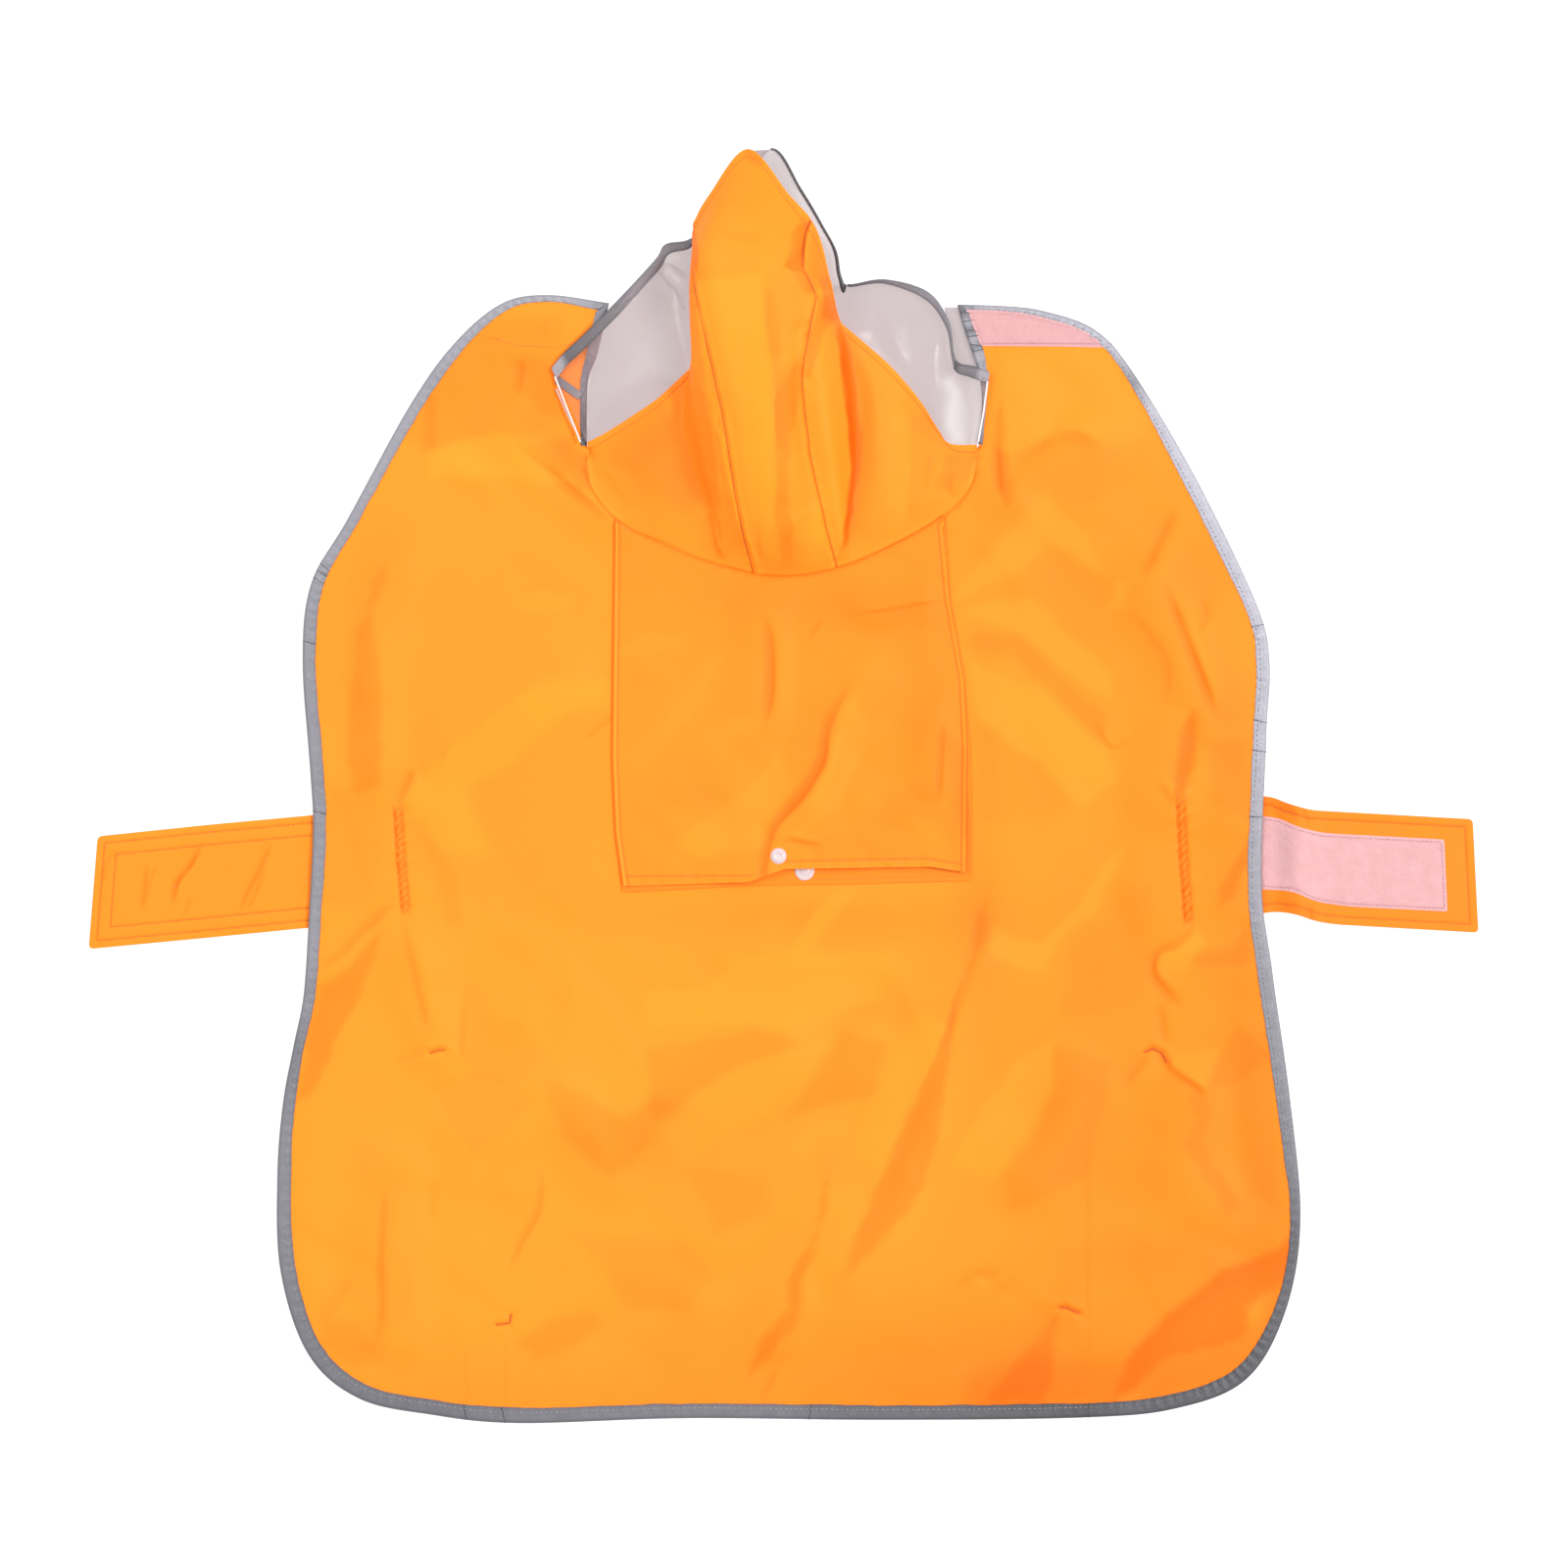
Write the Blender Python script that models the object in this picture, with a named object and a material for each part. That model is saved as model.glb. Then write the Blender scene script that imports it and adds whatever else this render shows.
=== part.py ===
"""A hooded dog raincoat, laid out flat on a table with its outer face up.

Every piece of cloth is a closed wall. The flat pieces share one plan: the body panel is triangulated
once, with the outlines of all that is sewn on it, and each layer above is made from its points, moved
up. The hood is lofted through ribs that run from the neck seam to the face edge, and its clear brim
goes on from the face edge to the rim. Tapes are U sections swept along the edges that they bind.

Tables and sizes are in millimetres, +Y towards the tip of the hood, and Z up from the table.
"""
import math
from collections import namedtuple

import bpy
from mathutils import Vector
from mathutils.geometry import delaunay_2d_cdt

MM = 0.001                      # the tables' unit, in metres
WALL = 1.0                      # every cloth, film and tape wall
GAP = 0.3                       # between pieces that touch
LAYER = WALL + GAP              # from one layer to the next
CENTRE = Vector((-0.2, -1.3))   # the middle of the whole garment in the tables' plan

WIDEST_BINDING = 10.0           # the most that any tape shows round the body's edge
BRIM_BINDING_WIDTH = 7.0        # tape that shows on the brim
EDGE_SEAM = 0.5                 # between the hood's foot and the body's neck edge
GRID = 24.0                     # side of the plan's triangles
CLEAR_SHARE = 0.42              # of that side, kept clear between the lattice and any line
EDGE_STEP = 21.0                # along the bound edge
PUFF = 24.0                     # cloth stays lifted this far past what lies under it
EDGE_FALL = (14.0, 40.0)        # the panel comes down from its tape to the table over these
FOLD_RISE = (14.0, 45.0)        # and its folds grow over these distances from the edge
SNAP_SIDES = 18

Point = namedtuple("Point", "x y")
Edge = namedtuple("Edge", "x y tape")
Crease = namedtuple("Crease", "x1 y1 x2 y2 width height")
Rib = namedtuple("Rib", "name seam low mid high face rim")

# The body's edge, counterclockwise from the left end of the neck seam to its right end, with the
# width of the tape that shows there.
LEFT_NECK_EDGE = [Edge(-120.5, 207, 4), Edge(-120.5, 228, 4), Edge(-119.5, 248, 4.5),
                  Edge(-114, 263, 6.5), Edge(-107, 294, 7)]
OUTER_EDGE = [
    Edge(-107, 294, 5), Edge(-144, 299, 4.5), Edge(-172, 294, 5), Edge(-200, 271, 6.5),
    Edge(-228, 233, 7), Edge(-267, 162, 6.5), Edge(-289.5, 122, 7.5), Edge(-294.5, 74, 8),
    Edge(-289.5, 5, 8), Edge(-288, -30, 8), Edge(-291, -90, 7.5), Edge(-294, -130, 7),
    Edge(-300, -160, 6.5), Edge(-306.5, -195, 7.5), Edge(-310, -240, 8.7), Edge(-308, -298, 9.3),
    Edge(-291, -349, 9.7), Edge(-260, -376, 9.8), Edge(-215, -386, 9.4), Edge(-162, -391, 9.4),
    Edge(-60, -388, 9), Edge(60, -389, 9), Edge(182, -387.6, 9), Edge(240, -382, 9),
    Edge(283, -364, 9.4), Edge(307, -322, 7), Edge(316, -266, 6.5), Edge(309.5, -192, 8.5),
    Edge(298.5, -114, 8.8), Edge(292, -60, 8.4), Edge(295, 30, 8), Edge(297, 74, 8),
    Edge(289, 110, 7.4), Edge(252, 187, 8), Edge(213, 252.5, 5), Edge(190, 278, 5),
    Edge(160, 289, 4.8), Edge(136, 292.3, 4), Edge(106, 293.3, 4)]
RIGHT_NECK_EDGE = [Edge(106, 293.3, 6), Edge(110, 279, 6.5), Edge(115.6, 262.4, 7),
                   Edge(119.5, 249, 6), Edge(121, 232, 4), Edge(118.8, 208, 4)]
NECK_SEAM = [   # left to right
    Point(-120.5, 207), Point(-119, 184), Point(-101, 161), Point(-70, 145.5), Point(-36, 133),
    Point(-2, 127), Point(31.5, 132), Point(65, 145.5), Point(97, 164), Point(114, 182),
    Point(119.3, 207)]
BINDING_JOINTS = [   # where the tape is pieced, in the edge's order, and the node after each
    ("binding_neck_left", Point(-120.5, 207)),
    ("binding_flap_left", Point(-118, 261)),
    ("binding_waist_left", Point(-292, 87)),
    ("binding_side_left", Point(-287, -17)),
    ("binding_hem_left", Point(-194, -388)),
    ("binding_hem_middle", Point(15, -388)),
    ("binding_side_right", Point(186, -388)),
    ("binding_flap_right", Point(291, 97)),
    ("binding_neck_right", Point(106, 293.3))]

# The largest folds of each piece, as ridges: a line, its half width and its height.
PANEL_FOLDS = [
    Crease(-166, 221, -112, 172, 34, 5.0),      # from the pouch's corner to the left flap
    Crease(-246, 134, -258, 60, 40, 5.0),       # down the left flap's side
    Crease(-258, 60, -252, 12, 36, 4.0),
    Crease(-135, 70, -206, 26, 30, 3.0),
    Crease(-228, -100, -210, -160, 30, 3.5),    # below the left strap
    Crease(-238, -238, -240, -340, 34, 4.0),    # long, at the left of the skirt
    Crease(-193, -215, -149, -190, 34, 3.0),    # soft waves across the skirt
    Crease(-149, -190, -105, -230, 34, 3.0),
    Crease(-105, -230, -6, -164, 38, 3.0),
    Crease(108, -108, 90, -172, 34, 4.0),       # long, down the right of the skirt
    Crease(90, -172, 34, -290, 34, 4.0),
    Crease(22, -240, -4, -336, 30, 3.0),
    Crease(178, -180, 152, -240, 30, 3.0),
    Crease(252, -188, 240, -232, 32, 4.0),
    Crease(240, -232, 272, -270, 32, 3.5),
    Crease(262, -296, 212, -346, 36, 4.0),
    Crease(140, 232, 141, 176, 30, 4.5),        # the right flap
    Crease(141, 176, 196, 214, 32, 3.5),
    Crease(228, 122, 258, 44, 36, 5.0),
    Crease(244, 36, 232, -6, 32, 4.0)]
POUCH_FOLDS = [
    Crease(-14, 104, -14, 36, 26, 3.2),
    Crease(50, 64, 28, 26, 30, 4.0),            # one long bend down to the mouth
    Crease(28, 26, 14, -10, 30, 4.2),
    Crease(14, -10, -2, -26, 28, 3.2),
    Crease(92, 34, 92, 0, 24, 3.0),
    Crease(52, 108, 94, 114, 22, 2.6)]
RIGHT_STRAP_FOLDS = [Crease(314, -4, 316, -92, 16, 5.0)]

# The pouch: the sides and foot of both layers, from the left end of its seam to the right end.
POUCH_BACK = [
    Point(-104.5, 64), Point(-105, 16), Point(-103, -30), Point(-99, -66), Point(-17, -62),
    Point(41, -61), Point(114, -59), Point(115, -17), Point(114, 23), Point(110, 64), Point(101, 115)]
POUCH_FRONT = [
    Point(-104.5, 64), Point(-105, 16), Point(-103, -30), Point(-98.5, -62.5), Point(-22, -60),
    Point(0, -52), Point(89, -50.5), Point(111, -54), Point(111.5, -17), Point(112, 23),
    Point(110, 64), Point(101, 115)]
POUCH_SEAM_X = (-104.5, 98.5)                       # the stretch of the neck seam that takes it
MOUTH_LINE = (Point(5, -52), Point(95, -52))        # where the front layer stands open
MOUTH_LIFT = 2.3
MOUTH_FALL = (26.0, 60.0)                           # from full lift to none
POUCH_SIDES = (POUCH_FRONT[:4], POUCH_FRONT[7:])
SIDE_RISE = (0.0, 18.0)                             # folds grow from the sides over this distance
SNAP_CAP = dict(centre=Point(-3.4, -44), radius=5.0, height=2.2)
SNAP_BASE = dict(centre=Point(12.6, -53), radius=6.0, height=1.4)

# The straps run from their seam under the body out past its edge.
STRAP_LEFT = [Point(-233, -83), Point(-233, -12.5), Point(-288, -19), Point(-353, -25),
              Point(-420, -32), Point(-425.5, -101), Point(-357, -94.5), Point(-291, -88)]
STRAP_LEFT_HOOK = [Point(-312, -32), Point(-410, -40), Point(-414, -91), Point(-314, -81)]
STRAP_RIGHT = [Point(246, -85), Point(302, -78), Point(313, -79.5), Point(325, -84),
               Point(338, -86), Point(425, -91), Point(421.5, -21.5), Point(322, -16),
               Point(308, -12), Point(298, -7.5), Point(245, -8)]
STRAP_RIGHT_LOOP = [Point(295, -64.5), Point(311, -65.5), Point(325, -72), Point(345, -75),
                    Point(406, -78), Point(404, -34), Point(329, -30), Point(313, -26),
                    Point(303, -21), Point(295, -19.5)]
STRAP_GRID = 15.0
STRAP_FALL = 18.0               # the left strap comes down from its hook patch over this distance
UNDER_STRAPS = [(-288, -233, -88, -13), (245, 292, -86, -8)]    # x1, x2, y1, y2

FLAP_PATCH_Y = 267.0            # lower edge of both chest patches
FLAP_HOOK_LEFT = [Point(-184, 270), Point(-131, 268), Point(-124, 281), Point(-144, 285.5),
                  Point(-168, 283)]
HOOK_WALL = 1.2

# The hood and its brim, rib by rib from left to right. seam is the rib's place along the neck seam,
# from 0 to 1; low, mid, high and face lie on the hood, and rim is the brim's edge.
RIBS = [
    Rib("left corner", 0.022, (-119.5, 203.8, 1.8), (-119.7, 205.3, 3.0), (-119.9, 206.9, 4.3),
        (-120.3, 208.6, 5.4), (-142, 254, 7.0)),
    Rib("left end", 0.097, (-113.8, 185.8, 3), (-112.3, 195.7, 4), (-110.8, 205.6, 5.0),
        (-108.8, 214.6, 5.4), (-134, 263.5, 7.6)),
    Rib("left outer", 0.157, (-101.3, 177.7, 4), (-98.7, 193.5, 6), (-96.2, 209.4, 6.4),
        (-93.8, 224, 5.6), (-121.5, 275, 8.2)),
    Rib("left middle", 0.243, (-79.8, 171.5, 7), (-78.7, 193.3, 8.5), (-77.7, 215.3, 7.5),
        (-75.8, 236.4, 6), (-100.7, 296, 8.2)),
    Rib("left valley", 0.363, (-46.9, 159.6, 6), (-55.8, 189.5, 6.5), (-61.8, 221.3, 7.5),
        (-57.8, 253.2, 7), (-78.9, 320.4, 4)),
    Rib("left foot", 0.400, (-37.7, 158.9, 15), (-47.5, 193.1, 22), (-56.3, 247.1, 26),
        (-52.7, 284.2, 14), (-72.5, 330, 3)),
    Rib("left flank", 0.425, (-32.7, 161.5, 21), (-42.4, 208.9, 33), (-56.6, 280.6, 35),
        (-53.5, 311.2, 20), (-57.9, 333, 3.4)),
    Rib("left seam", 0.447, (-27.7, 164, 27), (-37.3, 223.6, 44), (-53.8, 298, 45),
        (-54.8, 336, 27), (-45.9, 343.4, 4)),
    Rib("left shoulder", 0.471, (-19.7, 163.7, 31), (-26.4, 222.9, 51), (-42.5, 312.5, 53),
        (-44.4, 356.6, 31), (-28.9, 361, 6)),
    Rib("crest", 0.506, (-7.9, 163.6, 33), (-9.8, 222.6, 54), (-13.6, 301.9, 59),
        (-21.7, 382.6, 36), (-7, 386.8, 10)),
    Rib("right shoulder", 0.559, (7.9, 163.8, 30), (2.9, 223, 50), (1.9, 292.5, 57),
        (2.9, 354.3, 42), (10, 363.5, 6)),
    Rib("right seam", 0.611, (22.8, 167.4, 22), (11.8, 224, 40), (15.7, 278.8, 49),
        (18.6, 334.4, 44), (24.9, 337.3, 5)),
    Rib("small ridge", 0.628, (32.7, 167.5, 20), (26.5, 224.2, 38), (27.6, 267.7, 36),
        (27.6, 304.5, 33), (34.4, 310.5, 4)),
    Rib("right valley", 0.648, (39.8, 164.3, 9), (42.3, 204, 11), (41.8, 243.7, 12),
        (34.8, 280.3, 14), (39.9, 305.5, 3.4)),
    Rib("right foot", 0.691, (55.8, 167.3, 9), (57.7, 198.9, 12), (56.7, 233.8, 11.5),
        (50.8, 267.4, 9.5), (61.9, 308.6, 3)),
    Rib("right middle", 0.759, (73.7, 171.4, 8), (71.7, 197.1, 10), (69.7, 224.1, 9),
        (66.8, 253.2, 7), (87.9, 301, 3.4)),
    Rib("right outer", 0.840, (94.7, 179.5, 6), (90.7, 196.3, 8), (86.7, 213.3, 7.4),
        (82.8, 234.4, 6), (100.8, 282.5, 4.4)),
    Rib("right end", 0.897, (108.8, 183.7, 4), (104.7, 193.5, 6), (98.7, 204.5, 6),
        (92.8, 218.5, 5.4), (105, 259.4, 5.4)),
    Rib("right turn", 0.936, (112.9, 191.7, 3), (109.3, 197.1, 4.5), (104.8, 202.6, 5.2),
        (100.8, 208.1, 5.3), (115.7, 255.3, 6)),
    Rib("right corner", 0.977, (117.9, 201.8, 1.9), (117.9, 203.8, 3.1), (117.8, 205.7, 4.3),
        (117.7, 207.2, 5.3), (125.7, 251.7, 6.4))]
RIB_SPLIT = 2                   # columns of the loft from one rib to the next
HOOD_ROWS = 8                   # rows of the loft from the seam to the face edge
BRIM_ROWS = 4
LEFT_SEAM, RIGHT_SEAM = 7, 11   # the ribs that are the crown's seams
RIM_FOLD = (12, 13)             # the brim is folded sharply between these ribs
BRIM_BINDING_PIECES = [         # first and last rib of each piece of the rim's tape
    ("brim_binding_left", 0, 6), ("brim_binding_top", 6, 9), ("brim_binding_side", 9, 12),
    ("brim_binding_right", 13.5, 17), ("brim_binding_end", 17, 19)]

ORANGE = (254, 172, 59)
POUCH_ORANGE = (253, 163, 48)
BINDING_GREY = (158, 158, 162)
BRIM_GREY = (110, 100, 106)
FILM_TINT = (217, 205, 208)
LOOP_PINK = (243, 191, 193)
SNAP_PINK = (251, 225, 225)


# ---------------------------------------------------------------- materials and meshes

def linear(channel):
    """One sRGB channel, 0 to 255, as linear light."""
    value = channel / 255
    return value / 12.92 if value <= 0.04045 else ((value + 0.055) / 1.055) ** 2.4


def make_material(name, colour, roughness, alpha=1.0, metallic=0.0):
    material = bpy.data.materials.new(name)
    material.use_nodes = True
    shader = material.node_tree.nodes["Principled BSDF"]
    shader.inputs["Base Color"].default_value = [linear(c) for c in colour] + [1.0]
    shader.inputs["Roughness"].default_value = roughness
    shader.inputs["Metallic"].default_value = metallic
    shader.inputs["Alpha"].default_value = alpha
    return material


def add_piece(name, points, faces, colour, roughness, alpha=1.0):
    """One closed solid, from points in the tables' millimetres."""
    mesh = bpy.data.meshes.new(name)
    placed = [((x - CENTRE.x) * MM, (y - CENTRE.y) * MM, z * MM) for x, y, z in points]
    mesh.from_pydata(placed, [], faces)
    mesh.validate()
    mesh.materials.append(make_material(name, colour, roughness, alpha))
    piece = bpy.data.objects.new(name, mesh)
    bpy.context.collection.objects.link(piece)
    return piece


# ---------------------------------------------------------------- curves in space and in plan

def spline(points, parts):
    """A Catmull-Rom curve through the points, with this many parts from each to the next."""
    knots = [Vector(p) for p in points]
    knots = [2 * knots[0] - knots[1]] + knots + [2 * knots[-1] - knots[-2]]
    curve = []
    for a, b, c, d in zip(knots, knots[1:], knots[2:], knots[3:]):
        for step in range(parts):
            t = step / parts
            curve.append(0.5 * (2 * b + (c - a) * t + (2 * a - 5 * b + 4 * c - d) * t * t
                                + (3 * b - a - 3 * c + d) * t ** 3))
    return curve + [knots[-2]]


def lengths_along(curve):
    total = [0.0]
    for a, b in zip(curve, curve[1:]):
        total.append(total[-1] + (b - a).length)
    return total


def points_at(curve, fractions):
    """The points that lie at these fractions of the curve's length."""
    total = lengths_along(curve)
    found = []
    for fraction in fractions:
        target = fraction * total[-1]
        index = max(i for i in range(len(curve) - 1) if total[i] <= target + 1e-9)
        share = (target - total[index]) / (total[index + 1] - total[index])
        found.append(curve[index].lerp(curve[index + 1], share))
    return found


def evenly(points, step):
    """Points of the smooth curve through these, about one step apart, both ends kept."""
    curve = spline(points, 12)
    count = max(2, round(lengths_along(curve)[-1] / step))
    return points_at(curve, [i / count for i in range(count + 1)])


def left_normal(direction):
    return Vector((-direction.y, direction.x)).normalized()


def edge_stations(curve):
    """Each point of an open edge with the vector to its inside, longer where the edge turns."""
    stations = []
    last = len(curve) - 1
    for i, point in enumerate(curve):
        before = left_normal(point - curve[max(i - 1, 0)]) if i else None
        after = left_normal(curve[min(i + 1, last)] - point) if i < last else None
        before, after = before or after, after or before
        inward = (before + after).normalized()
        stations.append((point, inward / inward.dot(before)))
    return stations


def distance_to_line(x, y, points):
    spot = Vector((x, y))
    best = math.inf
    for a, b in zip(points, points[1:]):
        run = Vector((b[0] - a[0], b[1] - a[1]))
        reach = spot - Vector((a[0], a[1]))
        share = min(1.0, max(0.0, reach.dot(run) / run.length_squared))
        best = min(best, (reach - share * run).length)
    return best


def inside(x, y, loop):
    """Whether a point lies inside a closed loop in plan."""
    odd = False
    for a, b in zip(loop, closed(loop)[1:]):
        if (a[1] > y) != (b[1] > y) and x < (b[0] - a[0]) * (y - a[1]) / (b[1] - a[1]) + a[0]:
            odd = not odd
    return odd


def ramp(distance, full, none):
    """1 up to the first distance, falling smoothly to 0 at the second."""
    share = min(1.0, max(0.0, (distance - full) / (none - full)))
    return 0.5 + 0.5 * math.cos(math.pi * share)


def fold_height(x, y, folds):
    heights = [f.height * ramp(distance_to_line(x, y, [(f.x1, f.y1), (f.x2, f.y2)]), 0, f.width)
               for f in folds]
    return max(heights, default=0.0)


# ---------------------------------------------------------------- flat cloth

Plan = namedtuple("Plan", "points triangles")


def triangulate(outline, lines, spacing, spokes=()):
    """A plan of triangles: an outline, lines and spokes as edges, and a lattice clear of lines."""
    outline = [Vector((p[0], p[1])) for p in outline]
    points, edges = list(outline), [(i, i + 1) for i in range(len(outline) - 1)]
    edges.append((len(outline) - 1, 0))
    for line in list(lines) + list(spokes):
        first = len(points)
        points += [Vector((p[0], p[1])) for p in line]
        edges += [(first + i, first + i + 1) for i in range(len(line) - 1)]
    borders = [closed(outline)] + list(lines)
    x1, x2 = min(p.x for p in outline), max(p.x for p in outline)
    y1, y2 = min(p.y for p in outline), max(p.y for p in outline)
    rise = spacing * math.sqrt(3) / 2
    for row in range(int((y2 - y1) / rise) + 1):
        for column in range(int((x2 - x1) / spacing) + 2):
            x = x1 + (column + 0.5 * (row % 2)) * spacing
            y = y1 + row * rise
            clear = min(distance_to_line(x, y, border) for border in borders)
            if inside(x, y, outline) and clear > CLEAR_SHARE * spacing:
                points.append(Vector((x, y)))
    found, _, faces, _, _, _ = delaunay_2d_cdt(points, edges, [], 0, 0.01)
    return part_of(Plan(found, [tuple(face) for face in faces]), outline)


def closed(loop):
    return list(loop) + [loop[0]]


def part_of(plan, loop):
    """The plan's triangles whose middles lie inside a loop."""
    chosen = []
    for face in plan.triangles:
        x, y = (sum(plan.points[i][axis] for i in face) / 3 for axis in (0, 1))
        if inside(x, y, loop):
            chosen.append(face)
    return Plan(plan.points, chosen)


def add_cloth(name, plan, under, colour, roughness, wall=WALL):
    """A closed wall over a plan: under(x, y) is the height of its lower face."""
    used = sorted({i for face in plan.triangles for i in face})
    place = {old: new for new, old in enumerate(used)}
    lower = []
    for i in used:
        x, y = plan.points[i]
        lower.append((x, y, under(x, y)))
    upper = [(x, y, z + wall) for x, y, z in lower]
    count = len(used)
    top = [tuple(place[i] + count for i in face) for face in plan.triangles]
    bottom = [tuple(place[i] for i in reversed(face)) for face in plan.triangles]
    directed = {(face[k], face[(k + 1) % 3]) for face in plan.triangles for k in range(3)}
    sides = []
    for a, b in sorted(directed):
        if (b, a) not in directed:
            a, b = place[a], place[b]
            sides.append((a, b, b + count, a + count))
    return add_piece(name, lower + upper, top + bottom + sides, colour, roughness)


# ---------------------------------------------------------------- swept tape and lofted cloth

Section = namedtuple("Section", "edge inward up width")


def add_tape(name, sections, colour, roughness):
    """A tape folded round an edge: a U section, open inwards, along the sections."""
    slot = WALL / 2 + GAP
    out = slot + WALL
    sections = list(sections)
    for end, other in ((0, 1), (-1, -2)):       # half a gap at each joint
        along = (sections[other].edge - sections[end].edge).normalized()
        sections[end] = sections[end]._replace(edge=sections[end].edge + along * GAP / 2)
    along = sections[1].edge - sections[0].edge
    turned = along.cross(sections[0].inward).dot(sections[0].up) > 0
    points = []
    for s in sections:
        profile = [(0, -out), (s.width, -out), (s.width, -slot), (WALL, -slot),
                   (WALL, slot), (s.width, slot), (s.width, out), (0, out)]
        if turned:                              # keeps the faces outwards
            profile.reverse()
        points += [s.edge + s.inward * u + s.up * v for u, v in profile]
    sides = 8
    faces = []
    for ring in range(len(sections) - 1):
        for k in range(sides):
            a, b = ring * sides + k, ring * sides + (k + 1) % sides
            faces.append((a, a + sides, b + sides, b))
    last = (len(sections) - 1) * sides
    for start, turn in ((0, 1), (last, -1)):    # both ends, as three quads each
        for quad in ((0, 1, 2, 3), (0, 3, 4, 7), (4, 5, 6, 7)):
            faces.append(tuple(start + k for k in quad[::turn]))
    return add_piece(name, points, faces, colour, roughness)


def add_loft(name, outer, normals, colour, roughness, alpha=1.0):
    """A closed wall under a grid of points: outer[column][row], with the outward normals."""
    columns, rows = len(outer), len(outer[0])
    flat_outer = [point for column in outer for point in column]
    flat_normals = [normal for column in normals for normal in column]
    inner = [p - n * WALL for p, n in zip(flat_outer, flat_normals)]
    count = columns * rows

    def index(column, row):
        return column * rows + row

    faces = []
    for c in range(columns - 1):
        for r in range(rows - 1):
            quad = (index(c, r), index(c + 1, r), index(c + 1, r + 1), index(c, r + 1))
            faces.append(quad)
            faces.append(tuple(i + count for i in reversed(quad)))
    rim = [index(c, 0) for c in range(columns)]
    rim += [index(columns - 1, r) for r in range(1, rows)]
    rim += [index(c, rows - 1) for c in reversed(range(columns - 1))]
    rim += [index(0, r) for r in reversed(range(1, rows - 1))]
    for a, b in zip(rim, rim[1:] + rim[:1]):
        faces.append((b, a, a + count, b + count))
    return add_piece(name, flat_outer + inner, faces, colour, roughness, alpha)


def grid_normals(grid):
    columns, rows = len(grid), len(grid[0])
    normals = []
    for c in range(columns):
        line = []
        for r in range(rows):
            across = grid[min(c + 1, columns - 1)][r] - grid[max(c - 1, 0)][r]
            along = grid[c][min(r + 1, rows - 1)] - grid[c][max(r - 1, 0)]
            line.append(across.cross(along).normalized())
        normals.append(line)
    return normals


# ---------------------------------------------------------------- the body's edge and heights

neck_curve = spline(NECK_SEAM, 12)
edge_rows = (evenly(LEFT_NECK_EDGE, EDGE_STEP)[:-1] + evenly(OUTER_EDGE, EDGE_STEP)[:-1]
             + evenly(RIGHT_NECK_EDGE, EDGE_STEP))
body_edge = [row.xy for row in edge_rows]
tape_widths = [row.z for row in edge_rows]
body_stations = edge_stations(body_edge)
seam_places = []                            # of every column of the hood along the neck seam
for rib, following in zip(RIBS, RIBS[1:]):
    for part in range(RIB_SPLIT):
        seam_places.append(rib.seam + (following.seam - rib.seam) * part / RIB_SPLIT)
neck_points = points_at(neck_curve, seam_places + [RIBS[-1].seam])
PANEL_EDGE = WALL + GAP                     # from the tape's outside to the panel's edge
PANEL_RING = WIDEST_BINDING + 1.5           # just inside the tape's inner edge
outer_ring = [point + inward * PANEL_EDGE for point, inward in body_stations]
inner_ring = [point + inward * PANEL_RING for point, inward in body_stations]
tape_ring = [point + inward * (tape + LAYER)
             for (point, inward), tape in zip(body_stations, tape_widths)]


def strap_lift(x, y):
    lift = 0.0
    for x1, x2, y1, y2 in UNDER_STRAPS:
        apart = math.hypot(max(x1 - x, 0, x - x2), max(y1 - y, 0, y - y2))
        lift = max(lift, LAYER * ramp(apart, PUFF, 2 * PUFF))
    return lift


def hook_lift(x, y):
    apart = distance_to_line(x, y, closed(FLAP_HOOK_LEFT))
    if inside(x, y, FLAP_HOOK_LEFT):
        apart = 0.0
    return (HOOK_WALL + GAP) * ramp(apart, PUFF, 2 * PUFF)


def panel_under(x, y):
    """Height of the body panel's lower face: over its tape, the straps, a patch, and its folds."""
    from_edge = distance_to_line(x, y, body_edge)
    height = LAYER * ramp(from_edge, *EDGE_FALL)
    folds = fold_height(x, y, PANEL_FOLDS) * (1 - ramp(from_edge, *FOLD_RISE))
    return height + max(strap_lift(x, y), hook_lift(x, y)) + folds


def pouch_front_under(x, y):
    lift = MOUTH_LIFT * ramp(distance_to_line(x, y, MOUTH_LINE), *MOUTH_FALL)
    sides = min(distance_to_line(x, y, side) for side in POUCH_SIDES)
    folds = fold_height(x, y, POUCH_FOLDS) * (1 - ramp(sides, *SIDE_RISE))
    return panel_under(x, y) + 2 * LAYER + max(lift, folds)


# ---------------------------------------------------------------- the pieces

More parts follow.
